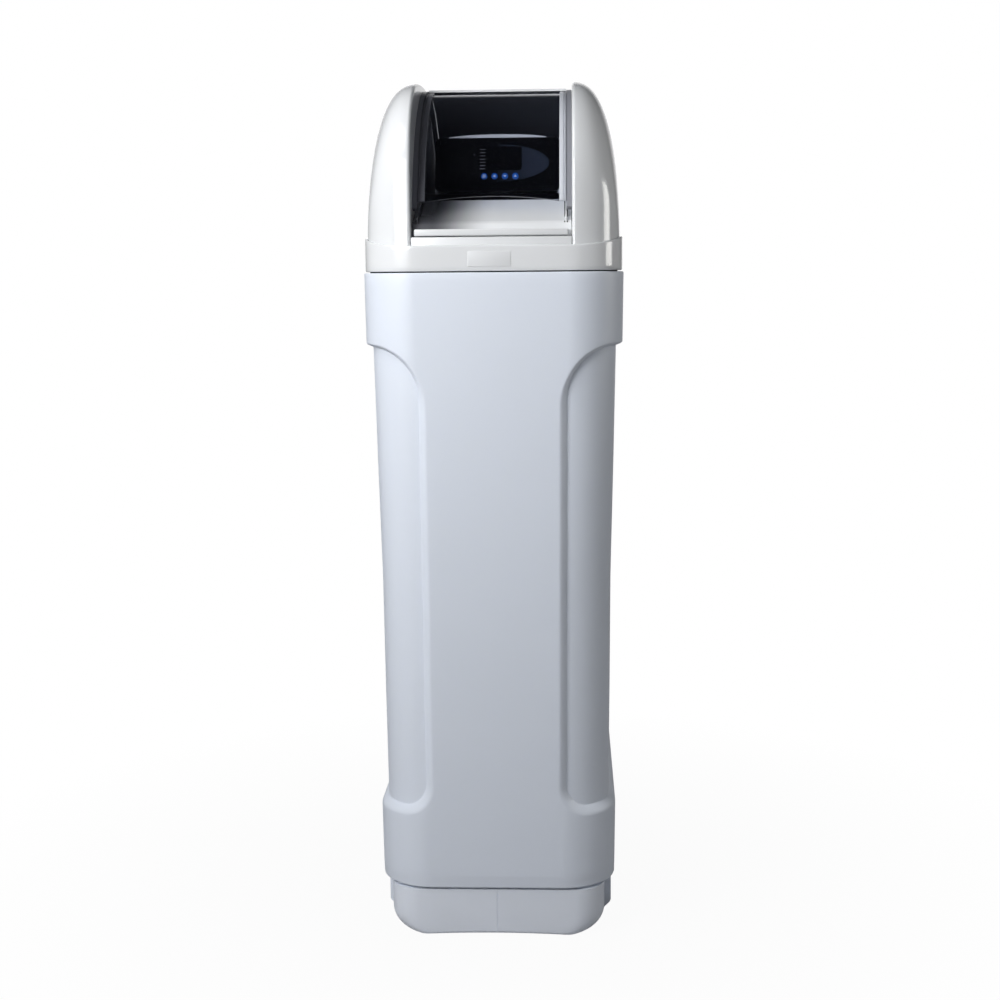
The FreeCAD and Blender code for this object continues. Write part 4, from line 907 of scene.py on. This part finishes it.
def front_tray(material, gap_shade):
    piece = across("tray", tray_outline(), -TRAY_HALF_WIDTH, TRAY_HALF_WIDTH, 0.8)
    tidy_mesh(piece)
    fold_y, fold_z = TRAY_FOLD
    rear_y, rear_z = TRAY_REAR
    fence = [(fold_y - 2, fold_z - 3), (fold_y - 3, fold_z + 4), (-206, 942), (rear_y, rear_z + 2),
             (rear_y, rear_z - 4)]
    for side in (-1, 1):
        ends = sorted((side * FENCE_X, side * (FENCE_X + FENCE_WALL)))
        wall = across("fence", fence, *ends, 0.5)
        tidy_mesh(wall)
        cut_away(piece, wall, "UNION")
    finish_piece(piece, "lid", material, ["front_tray"], 35)
    # The tray's rear strip behind TRAY_BAND_Y is painted panel black: painted shade for the gap
    # under the pane's lower edge.
    return second_material(piece, gap_shade, lambda face: face.center.y > (TRAY_BAND_Y - 1) * MM
                           and abs(face.center.x) < (FENCE_X - 1) * MM)


# Thin dark strips that lie on the tray along both faces of each fence: painted shade in the creases
# there.
def fence_shade_strips(material):
    fold_y, fold_z = TRAY_FOLD
    rear_y, rear_z = TRAY_REAR
    outline = [(fold_y - 3, fold_z - 3), (fold_y - 3, fold_z - 2 + SEAL_RISE),
               (rear_y - 1, rear_z + SEAL_RISE), (rear_y - 1, rear_z - 1)]
    for side, label in ((1, "right"), (-1, "left")):
        for x, place in ((FENCE_X - SEAL_WIDTH, "inner"), (FENCE_X + FENCE_WALL, "outer")):
            ends = sorted((side * x, side * (x + SEAL_WIDTH)))
            strip = across(f"{label}_fence_shade_line_{place}", outline, *ends, 0.2, 2)
            finish_piece(strip, "lid", material)


def front_bar(material):
    piece = rounded_block("bar", (-BAR_HALF_WIDTH, TRAY_FRONT_Y - 1, BAR_LOW_Z),
                          (BAR_HALF_WIDTH, TRAY_FRONT_Y + 7.6, BAR_HIGH_Z), 1.6, 4)
    return finish_piece(piece, "lid", material, ["front_bar"], 40)


def name_plate(material):
    x, z = PLATE_CENTRE_X, PLATE_CENTRE_Z
    front_y = -RING_HALF_DEPTH
    piece = rounded_block("plate", (x - PLATE_WIDTH / 2, front_y - 0.6, z - PLATE_HEIGHT / 2),
                          (x + PLATE_WIDTH / 2, front_y + 0.8, z + PLATE_HEIGHT / 2), 0.3)
    return finish_piece(piece, "lid", material, ["blank_plate"], 40)


# Control panel

def body_of(node):
    return frame["nodes"][node]["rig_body"]


# Point on the front of a leaning disc or slab, its outward direction and its upward direction.
def leaning_front(node, radius=None):
    low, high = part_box(node)
    lean = radians(FASCIA_LEAN)
    out = Vector((0, -cos(lean), sin(lean)))
    up = Vector((0, sin(lean), cos(lean)))
    centre = (low + high) / 2
    tall = (high.z - low.z) / 2 if radius is None else radius
    depth = ((high.y - low.y) / 2 - tall * sin(lean)) / cos(lean)
    if radius is None:
        half_y = (high.y - low.y) / 2
        half_z = (high.z - low.z) / 2
        depth = (half_y * cos(lean) - half_z * sin(lean)) / cos(2 * lean)
    return centre + out * depth, out, up


# Flat mark: outlines in (across, up) millimetres on the leaning face, from low to high above it.
def printed_mark(name, node, outlines, material, radius=None, low=0.01, high=0.12):
    place, out, up = leaning_front(node, radius)
    vertices = []
    faces = []
    for outline in outlines:
        start = len(vertices)
        count = len(outline)
        for height in (low, high):
            for a, b in outline:
                vertices.append(place + Vector((a * MM, 0, 0)) + up * b * MM + out * height * MM)
        faces.append(tuple(range(start, start + count)))
        faces.append(tuple(range(start + count, start + 2 * count)))
        for i in range(count):
            j = (i + 1) % count
            faces.append((start + i, start + j, start + count + j, start + count + i))
    piece = object_from(name, vertices, faces, 1.0)
    return finish_piece(piece, body_of(node), material)


def bar_outline(a, b, half_a, half_b):
    return [(a + i * half_a, b + j * half_b) for i, j in ((-1, -1), (1, -1), (1, 1), (-1, 1))]


def arrow_outline(size, turn):
    c, s = cos(radians(turn)), sin(radians(turn))
    corners = ((-0.9, -0.45), (0.9, -0.45), (0, 0.75))
    return [(size * (x * c - y * s), size * (x * s + y * c)) for x, y in corners]


def button_marks(material):
    low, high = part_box("menu_button")
    radius = (high.x - low.x) / 2
    size = radius / MM * 0.55
    bars = [bar_outline(0, shift * size, size * 0.9, size * 0.18) for shift in (-0.65, 0, 0.65)]
    marks = {"menu_button": bars, "back_button": [arrow_outline(size, 90)],
             "down_button": [arrow_outline(size, 180)], "up_button": [arrow_outline(size, 0)]}
    for node, outlines in marks.items():
        printed_mark(node + "_mark", node, outlines, material, radius)


# Node tree that repeats the object's own mesh along a line.
def row_tree():
    tree, size = geometry_tree("row of copies", [("Count", "Int"), ("Step", "Vector")])
    line = add_node(tree, "GeometryNodeMeshLine", {"Count": size["Count"], "Offset": size["Step"]})
    copies = add_node(tree, "GeometryNodeInstanceOnPoints", {
        "Points": line["Mesh"], "Instance": size["Geometry"]})
    return end_tree(tree, copies["Instances"], size["Material"])


ROW_TREE = row_tree()


# Seven short lines down the left of the display.
def display_labels(material):
    low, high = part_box("display_window")
    place, _, up = leaning_front("display_window")
    left = place.x - (high.x - low.x) / 2 + (LABEL_INSET + LABEL_WIDTH / 2) * MM
    height = -(LABEL_COUNT - 1) / 2 * LABEL_PITCH - 0.8
    bar = bar_outline(left / MM - place.x / MM, height, LABEL_WIDTH / 2, LABEL_HEIGHT / 2)
    piece = printed_mark("display_labels", "display_window", [bar], material)
    step = up * LABEL_PITCH * MM
    with_nodes(piece, ROW_TREE, {"Count": LABEL_COUNT, "Step": step, "Material": material})
    return finish_piece(piece, body_of("display_window"), material)


# Light rim of the housing above the panel, between the panel's edge and the housing's crown.
def crown_trim(material):
    half_height = FASCIA_HEIGHT / 2 + 0.1
    steps = 24
    reach = CROWN_REACH
    arc = [reach * (1 - 2 * i / steps) for i in range(steps + 1)]
    outline = [(-reach, half_height - 0.3), (reach, half_height - 0.3)]
    outline += [(a, half_height + CROWN_RISE * (1 - 0.8 * abs(a / reach) ** 3)) for a in arc]
    return printed_mark("crown_trim", "control_fascia", [outline], material, low=-3.1,
                        high=-0.1)


# Shader groups

# Shader group; an input is a number, a vector of three or a colour of four, as its first value is.
def new_group(name, inputs, outputs):
    tree = bpy.data.node_groups.new(name, "ShaderNodeTree")
    for label, value in inputs.items():
        kind = "Float" if isinstance(value, float) else {3: "Vector", 4: "Color"}[len(value)]
        socket = tree.interface.new_socket(label, in_out="INPUT", socket_type="NodeSocket" + kind)
        socket.default_value = value
    for label, kind in outputs.items():
        tree.interface.new_socket(label, in_out="OUTPUT", socket_type="NodeSocket" + kind)
    return tree, add_node(tree, "NodeGroupInput"), tree.nodes.new("NodeGroupOutput")


def noise_node(tree, scale, detail, vector):
    inputs = {"Scale": scale, "Detail": detail, "Vector": vector}
    return add_node(tree, "ShaderNodeTexNoise", inputs)["Fac"]


def mix_color(tree, factor, a, b):
    inputs = {"Factor": factor, "A": a, "B": b}
    return add_node(tree, "ShaderNodeMix", inputs, data_type="RGBA")["Result"]


def mix_shader(tree, factor, first, second):
    inputs = {"Fac": factor, 1: first, 2: second}
    return add_node(tree, "ShaderNodeMixShader", inputs)["Shader"]


# Share of the way from low to high, kept between start and one.
def share_between(tree, value, low, high, start=0.0, **settings):
    inputs = {"Value": value, "From Min": low, "From Max": high, "To Min": start}
    return add_node(tree, "ShaderNodeMapRange", inputs, **settings)["Result"]


# Moulded plastic: cloudy colour, fine grain from the tool and slow ripples of the wall.
def moulding_group():
    tree, given, end = new_group("moulded surface", {
        "Vector": (0, 0, 0), "Colour": (0.8, 0.8, 0.8, 1), "Cloud Colour": (0.7, 0.7, 0.7, 1),
        "Cloud Scale": 9.0, "Cloud Amount": 0.3, "Grain Scale": 900.0, "Grain Height": 0.3,
        "Ripple Scale": 14.0, "Ripple Height": 1.0, "Roughness": 0.35, "Roughness Spread": 0.06},
        {"Colour": "Color", "Roughness": "Float", "Height": "Float"})
    cloud = noise_node(tree, given["Cloud Scale"], 4, given["Vector"])
    grain = noise_node(tree, given["Grain Scale"], 2, given["Vector"])
    ripple = noise_node(tree, given["Ripple Scale"], 1, given["Vector"])
    amount = times(tree, cloud, given["Cloud Amount"])
    shift = times(tree, math_node(tree, "SUBTRACT", cloud, 0.5), given["Roughness Spread"])
    fine = times(tree, grain, given["Grain Height"])
    slow = times(tree, ripple, given["Ripple Height"])
    connect(tree, end, {"Colour": mix_color(tree, amount, given["Colour"], given["Cloud Colour"]),
                        "Roughness": plus(tree, given["Roughness"], shift),
                        "Height": plus(tree, fine, slow)})
    return tree


# Faint wipe marks and settled dust: a mask that rises on faces that look up.
def handling_group():
    tree, given, end = new_group("handling marks", {
        "Vector": (0, 0, 0), "Wipe Scale": 30.0, "Wipe Amount": 0.2, "Dust Scale": 1400.0,
        "Dust Amount": 0.1}, {"Wipe": "Float", "Dust": "Float"})
    stretch = add_node(tree, "ShaderNodeMapping", {
        "Vector": given["Vector"], "Scale": (1.0, 1.0, 0.12), "Rotation": (0.3, 0.5, 0.2)})
    wipe = noise_node(tree, given["Wipe Scale"], 5, stretch["Vector"])
    speck = noise_node(tree, given["Dust Scale"], 1, given["Vector"])
    facing = add_node(tree, "ShaderNodeNewGeometry")["Normal"]
    up = math_node(tree, "MAXIMUM", axes_of(tree, facing)["Z"], 0.0)
    settled = times(tree, math_node(tree, "POWER", speck, 6.0), up)
    connect(tree, end, {"Wipe": times(tree, wipe, given["Wipe Amount"]),
                        "Dust": times(tree, settled, given["Dust Amount"])})
    return tree


MOULDING = moulding_group()
HANDLING = handling_group()


# Materials

def new_material(name, inputs):
    material = bpy.data.materials.new(name)
    material.use_nodes = True
    tree = material.node_tree
    return material, tree, connect(tree, tree.nodes["Principled BSDF"], inputs)


def object_place(tree):
    return add_node(tree, "ShaderNodeTexCoord")["Object"]


def relief(tree, shader, height, depth, strength=1.0):
    bump = add_node(tree, "ShaderNodeBump", {
        "Strength": strength, "Distance": depth, "Height": height})
    connect(tree, shader, {"Normal": bump["Normal"]})


def plastic(name, color, cloud, roughness, grain=(900.0, 0.3), ripple=(14.0, 1.0), depth=0.00004,
            coat=0.0, subsurface=0.0, dust=0.1):
    material, tree, shader = new_material(name, {
        "Coat Weight": coat, "Coat Roughness": 0.04, "Subsurface Weight": subsurface,
        "Subsurface Radius": (0.006, 0.006, 0.007)})
    place = object_place(tree)
    body = add_node(tree, "ShaderNodeGroup", {
        "Vector": place, "Colour": (*color, 1), "Cloud Colour": (*cloud, 1),
        "Grain Scale": grain[0], "Grain Height": grain[1],
        "Ripple Scale": ripple[0], "Ripple Height": ripple[1],
        "Roughness": roughness}, node_tree=MOULDING)
    marks = add_node(tree, "ShaderNodeGroup", {
        "Vector": place, "Dust Amount": dust}, node_tree=HANDLING)
    wiped = times(tree, marks["Wipe"], 0.25)
    connect(tree, shader, {"Base Color": mix_color(tree, marks["Dust"], body["Colour"], DUST_COLOR),
                           "Roughness": plus(tree, body["Roughness"], wiped)})
    relief(tree, shader, body["Height"], depth)
    return material


# Tinted clear sheet: shadows fall through it with its tint.
def smoked_acrylic():
    material, tree, shader = new_material("smoked acrylic", {
        "Base Color": (*PANE_TINT, 1), "IOR": 1.49, "Metallic": 0.0, "Transmission Weight": 1.0})
    marks = add_node(tree, "ShaderNodeGroup", {
        "Vector": object_place(tree), "Wipe Scale": 22.0, "Wipe Amount": 0.05}, node_tree=HANDLING)
    connect(tree, shader, {"Roughness": plus(tree, marks["Wipe"], 0.01)})
    half_way = [sqrt(share) for share in PANE_TINT]
    clear = add_node(tree, "ShaderNodeBsdfTransparent", {"Color": (*half_way, 1)})
    shadow = add_node(tree, "ShaderNodeLightPath")["Is Shadow Ray"]
    connect(tree, tree.nodes["Material Output"], {
        "Surface": mix_shader(tree, shadow, shader.outputs["BSDF"], clear["BSDF"])})
    return material


# Resin-wound tank: crossed bands of fibre under a clear skin.
def wound_tank():
    material, tree, shader = new_material("wound tank", {
        "Coat Weight": 0.5, "Coat Roughness": 0.12})
    place = object_place(tree)
    bands = []
    for angle in (0.35, -0.35):
        turn = add_node(tree, "ShaderNodeMapping", {"Vector": place, "Rotation": (angle, angle, 0)})
        wave = add_node(tree, "ShaderNodeTexWave", {
            "Vector": turn["Vector"], "Scale": 70.0, "Distortion": 0.4, "Detail": 3.0},
            bands_direction="Z")
        bands.append(wave["Fac"])
    height = math_node(tree, "MAXIMUM", *bands)
    color = mix_color(tree, height, (0.045, 0.15, 0.30, 1), (0.10, 0.27, 0.46, 1))
    rough = math_node(tree, "MULTIPLY_ADD", height, 0.12)
    connect(tree, shader, {"Base Color": color, "Roughness": rough})
    relief(tree, shader, height, 0.0003, 0.6)
    return material


def brushed_steel():
    material, tree, shader = new_material("brushed steel", {
        "Base Color": (0.58, 0.58, 0.60, 1), "Metallic": 1.0})
    turn = add_node(tree, "ShaderNodeMapping", {
        "Vector": object_place(tree), "Scale": (60.0, 900.0, 900.0)})
    streak = noise_node(tree, 1.0, 3, turn["Vector"])
    connect(tree, shader, {"Roughness": plus(tree, times(tree, streak, 0.3), 0.18)})
    relief(tree, shader, streak, 0.00002)
    return material


# Bead resin: packed round beads in amber tones.
def resin_beads():
    material, tree, shader = new_material("resin beads", {
        "Subsurface Weight": 0.2, "Roughness": 0.3})
    cells = add_node(tree, "ShaderNodeTexVoronoi", {"Vector": object_place(tree), "Scale": 900.0})
    gap = cells["Distance"]
    color = mix_color(tree, gap, (0.62, 0.30, 0.06, 1), (0.30, 0.12, 0.02, 1))
    connect(tree, shader, {"Base Color": color})
    relief(tree, shader, math_node(tree, "SUBTRACT", 1.0, gap), 0.0006, 0.8)
    return material


# Paints shade across a material to one side: dark at x0, its own colour from x1 on, and unshaded
# ahead of front_y.
def painted_shade_across(material, dark, x0, x1, front_y=None):
    tree = material.node_tree
    shader = tree.nodes["Principled BSDF"]
    light = shader.inputs["Base Color"].links[0].from_socket
    split = axes_of(tree, object_place(tree))
    amount = share_between(tree, split["X"], x0, x1, interpolation_type="SMOOTHSTEP")
    if front_y is not None:
        ahead = math_node(tree, "LESS_THAN", split["Y"], front_y)
        amount = math_node(tree, "MAXIMUM", amount, ahead)
    connect(tree, shader, {"Base Color": mix_color(tree, amount, (*dark, 1), light)})
    return material


# Painted glow: emission on a surface that is no lamp.
def painted_glow(material, color, strength):
    tree = material.node_tree
    connect(tree, tree.nodes["Principled BSDF"], {
        "Emission Color": (*color, 1), "Emission Strength": strength})
    return material


# Circuit board: green lacquer over copper tracks.
def circuit_board():
    material, tree, shader = new_material("circuit board", {"Roughness": 0.3, "Coat Weight": 0.3})
    tracks = add_node(tree, "ShaderNodeTexBrick", {
        "Vector": object_place(tree), "Color1": (0.01, 0.11, 0.045, 1),
        "Color2": (0.012, 0.14, 0.055, 1), "Mortar": (0.03, 0.24, 0.08, 1), "Scale": 120.0,
        "Mortar Size": 0.06})
    connect(tree, shader, {"Base Color": tracks["Color"]})
    relief(tree, shader, tracks["Fac"], 0.00004)
    return material


SHELL_FINISH = {"grain": (1100.0, 0.25), "ripple": (11.0, 5.0), "depth": 0.00006,
                "subsurface": 0.06, "dust": 0.05}
body_white = plastic("body white", (0.77, 0.82, 0.905), (0.72, 0.77, 0.86), 0.40, **SHELL_FINISH)
gloss_white = plastic("gloss white", (0.79, 0.805, 0.82), (0.75, 0.765, 0.785), 0.14,
                      grain=(700.0, 0.05), ripple=(18.0, 1.2), coat=0.25, subsurface=0.05,
                      dust=0.04)
# Painted light: a lighter copy of the body's white, for light from the floor on the foot.
foot_floor_lit = plastic("foot painted floor light", (0.84, 0.885, 0.965), (0.79, 0.835, 0.92), 0.40, **SHELL_FINISH)
STRIP_FINISH = {"grain": (700.0, 0.2), "ripple": (30.0, 1.0)}
rail_white = plastic("rail white", (0.60, 0.62, 0.67), (0.54, 0.56, 0.61), 0.3, **STRIP_FINISH)
# Painted shade for the hood's inner faces.
hood_inside_shade = plastic("hood inside painted shade", (0.115, 0.117, 0.135), (0.135, 0.137, 0.155), 0.4,
                      grain=(650.0, 0.6), ripple=(25.0, 0.8))
# Painted shade: a darker copy of the strips' colour for the left runner and rail, which lie in the
# left cheek's shadow.
shaded_strip_paint = plastic("painted shade strip", (0.15, 0.155, 0.18), (0.18, 0.185, 0.21), 0.18,
                      **STRIP_FINISH)
rail_grey = plastic("rail grey", (0.24, 0.245, 0.275), (0.27, 0.275, 0.30), 0.3, **STRIP_FINISH)
tray_white = plastic("tray white", (0.80, 0.815, 0.83), (0.76, 0.775, 0.795), 0.2,
                     grain=(700.0, 0.05), ripple=(18.0, 1.2), coat=0.15, subsurface=0.03,
                     dust=0.04)
# Painted shadow: the tray's left part is darkened where the left cheek's shadow falls on it.
painted_shade_across(tray_white, (0.07, 0.072, 0.082), x0=-0.076, x1=0.004, front_y=-0.2335)
fascia_black = plastic("panel black", (0.0035, 0.0035, 0.0045), (0.006, 0.006, 0.008), 0.08,
                       grain=(600.0, 0.02), ripple=(20.0, 0.6), depth=0.00002, dust=0.03)
moulded_black = plastic("moulded black", (0.018, 0.018, 0.02), (0.03, 0.03, 0.032), 0.42,
                        grain=(650.0, 1.0), ripple=(25.0, 0.5))
edge_dark = plastic("cut acrylic edge", (0.10, 0.105, 0.12), (0.13, 0.135, 0.15), 0.25,
                    grain=(900.0, 0.4), ripple=(60.0, 0.4))
bezel_grey = plastic("oval grey", (0.03, 0.038, 0.056), (0.036, 0.045, 0.065), 0.16,
                     grain=(600.0, 0.05), ripple=(20.0, 0.5))
# Painted shade: the oval is darkened toward its left.
painted_shade_across(bezel_grey, (0.003, 0.003, 0.004), x0=-0.02, x1=0.05)
smoked = smoked_acrylic()
node_paint = {
    "cabinet_white": body_white,
    "lid_white": gloss_white,
    "smoked_pane": smoked,
    "fascia_black": fascia_black,
    "bezel_grey": bezel_grey,
    "window_dark": plastic("window black", (0.003, 0.003, 0.004), (0.004, 0.004, 0.006), 0.06,
                           grain=(600.0, 0.01), ripple=(16.0, 0.3)),
    "button_blue": plastic("button blue", (0.01, 0.16, 0.72), (0.008, 0.12, 0.6), 0.28,
                           grain=(900.0, 0.2), ripple=(60.0, 0.3)),
    "head_grey": plastic("housing grey", (0.84, 0.85, 0.87), (0.78, 0.79, 0.81), 0.3,
                         grain=(900.0, 0.6), ripple=(20.0, 0.8)),
    "board_green": circuit_board(),
    "tank_blue": wound_tank(),
    "moulded_black": moulded_black,
    "valve_black": plastic("valve black", (0.012, 0.012, 0.013), (0.026, 0.026, 0.028), 0.5,
                           grain=(420.0, 1.4), ripple=(30.0, 0.8), depth=0.00008),
    "resin_amber": resin_beads(),
    "seal_rubber": plastic("seal rubber", (0.012, 0.012, 0.012), (0.02, 0.02, 0.02), 0.7,
                           grain=(500.0, 1.0), ripple=(30.0, 0.5)),
    "natural_white": plastic("natural plastic", (0.72, 0.70, 0.64), (0.64, 0.62, 0.56), 0.38,
                             grain=(700.0, 0.5), ripple=(18.0, 1.0), depth=0.00005,
                             subsurface=0.15),
    "knob_red": plastic("knob red", (0.48, 0.018, 0.015), (0.40, 0.012, 0.012), 0.32,
                        grain=(800.0, 0.5), ripple=(30.0, 0.6)),
    "gear_white": plastic("gear white", (0.80, 0.79, 0.75), (0.72, 0.71, 0.67), 0.3,
                          grain=(700.0, 0.3), ripple=(30.0, 0.4)),
    "steel": brushed_steel(),
    "float_orange": plastic("float orange", (0.75, 0.19, 0.02), (0.65, 0.15, 0.02), 0.4,
                            grain=(900.0, 0.6), ripple=(20.0, 0.8)),
    "tube_black": plastic("tube black", (0.014, 0.014, 0.016), (0.02, 0.02, 0.022), 0.3,
                          grain=(500.0, 0.3), ripple=(40.0, 0.4)),
}

cabinet_shell(body_white)
foot_front(foot_floor_lit)
foot_rear(foot_floor_lit)
foot_neck(foot_floor_lit)
lid_ring(gloss_white, node_paint["seal_rubber"])
cheek("right_cheek_shell", 1, gloss_white, "right_cheek")
cheek("left_cheek_shell", -1, gloss_white, "left_cheek")
pane(smoked, edge_dark)
runner("right_runner_strip", 1, rail_white, "right_runner")
runner("left_runner_strip", -1, shaded_strip_paint, "left_runner")
rail("right_rail_channel", 1, rail_grey, "right_rail")
rail("left_rail_channel", -1, shaded_strip_paint, "left_rail")
rear_hood(gloss_white, hood_inside_shade)
front_tray(tray_white, fascia_black)
front_bar(gloss_white)
fence_shade_strips(node_paint["seal_rubber"])
name_plate(gloss_white)

crown_white = plastic("crown white", (0.88, 0.88, 0.9), (0.82, 0.82, 0.85), 0.2,
                      grain=(700.0, 0.1), ripple=(20.0, 0.5))
# The crown trim glows a little: painted light that brightens it behind the pane.
crown_trim(painted_glow(crown_white, (0.9, 0.9, 0.92), 0.1))
mark_white = plastic("mark white", (0.75, 0.82, 0.95), (0.7, 0.78, 0.92), 0.4)
# The button marks glow: painted light.
button_marks(painted_glow(mark_white, (0.6, 0.75, 1.0), 0.35))
label_grey = plastic("label grey", (0.16, 0.16, 0.17), (0.12, 0.12, 0.13), 0.4)
display_labels(label_grey)

slots = {entry["node"]: entry["material_slot"] for entry in frame["record"]["subparts"]}
for name, node in frame["nodes"].items():
    for holder in node.material_slots:
        holder.material = node_paint[slots[name]]


# Camera, floor and lights

def camera():
    data = bpy.data.cameras.new("photo camera")
    data.sensor_width = SENSOR_WIDTH
    data.lens = CAMERA_FOCAL_PIXELS / PICTURE_PIXELS * SENSOR_WIDTH
    data.clip_end = 50
    piece = placed("photo camera", data)
    place = Matrix.Translation(CAMERA_PLACE)
    turn = Matrix.Rotation(radians(CAMERA_YAW), 4, "Z")
    tilt = Matrix.Rotation(radians(90 - CAMERA_PITCH), 4, "X")
    roll = Matrix.Rotation(radians(CAMERA_ROLL), 4, "Z")
    piece.matrix_world = place @ turn @ tilt @ roll
    bpy.context.scene.camera = piece


def softbox(name, place, aim, width, height, power, color=(1.0, 1.0, 1.0), mirrored=True):
    data = bpy.data.lights.new(name, "AREA")
    data.shape = "RECTANGLE"
    data.size = width
    data.size_y = height
    data.energy = power
    data.color = color
    piece = placed(name, data)
    piece.location = place
    piece.rotation_euler = (Vector(aim) - Vector(place)).to_track_quat("-Z", "Y").to_euler()
    piece.visible_camera = False
    piece.visible_glossy = mirrored
    piece.visible_transmission = mirrored


# White behind the object, a dark room in front of it, and a low even light for matt surfaces.
def studio_world():
    world = bpy.data.worlds.new("studio")
    bpy.context.scene.world = world
    world.use_nodes = True
    tree = world.node_tree
    ambient = connect(tree, tree.nodes["Background"], {
        "Color": (0.88, 0.92, 1.0, 1), "Strength": AMBIENT})
    white = add_node(tree, "ShaderNodeBackground", {"Color": WHITE})
    split = axes_of(tree, add_node(tree, "ShaderNodeTexCoord")["Generated"])
    behind = share_between(tree, split["Y"], 0.88, 0.99)
    aside = share_between(tree, math_node(tree, "ABSOLUTE", split["X"]), 0.35, 0.85)
    front = mix_color(tree, aside, (0.02, 0.022, 0.028, 1), (0.5, 0.5, 0.5, 1))
    color = mix_color(tree, behind, front, WHITE)
    mirrored = add_node(tree, "ShaderNodeBackground", {"Color": color})
    path = add_node(tree, "ShaderNodeLightPath")
    shiny = math_node(tree, "MAXIMUM", path["Is Glossy Ray"], path["Is Transmission Ray"])
    lit = mix_shader(tree, shiny, ambient.outputs["Background"], mirrored["Background"])
    seen = mix_shader(tree, path["Is Camera Ray"], lit, white["Background"])
    connect(tree, tree.nodes["World Output"], {"Surface": seen})


# The camera sees a white floor with the object's soft shadow near it, and plain white farther off.
def studio_floor():
    corners = [(-6, -6, 0), (6, -6, 0), (6, 6, 0), (-6, 6, 0)]
    piece = object_from("floor", corners, [(0, 1, 2, 3)], 1.0)
    material, tree, shader = new_material("floor white", {
        "Base Color": (0.4, 0.4, 0.41, 1), "Roughness": 0.7})
    glow = add_node(tree, "ShaderNodeEmission", {"Color": WHITE})
    away = add_node(tree, "ShaderNodeVectorMath", {0: object_place(tree)}, operation="LENGTH")
    far = share_between(tree, away["Value"], 0.25, 0.9, 0.955)
    seen = add_node(tree, "ShaderNodeLightPath")["Is Camera Ray"]
    surface = mix_shader(tree, times(tree, seen, far), shader.outputs["BSDF"], glow["Emission"])
    connect(tree, tree.nodes["Material Output"], {"Surface": surface})
    piece.data.materials.append(material)


camera()
studio_world()
studio_floor()
softbox("left softbox", (-0.8, -1.29, 1.26), (0, 0, 0.85), 0.8, 0.7, 17.3)
softbox("upper softbox", (-1.0, -0.85, 2.25), (0, 0, 0.9), 0.8, 0.6, 10.5)
softbox("right softbox", (2.0, 0.0, 1.05), (0, 0, 0.9), 0.6, 0.45, 6.2, (1.0, 0.99, 0.95))
softbox("front fill", (0.65, -1.45, 1.85), (0, 0, 1.0), 0.6, 0.5, 2.3, mirrored=False)
softbox("rear softbox", (-0.5, 2.5, 1.6), (0, 0, 0.6), 1.6, 1.6, 26, mirrored=False)

bpy.context.scene.view_settings.view_transform = "Standard"
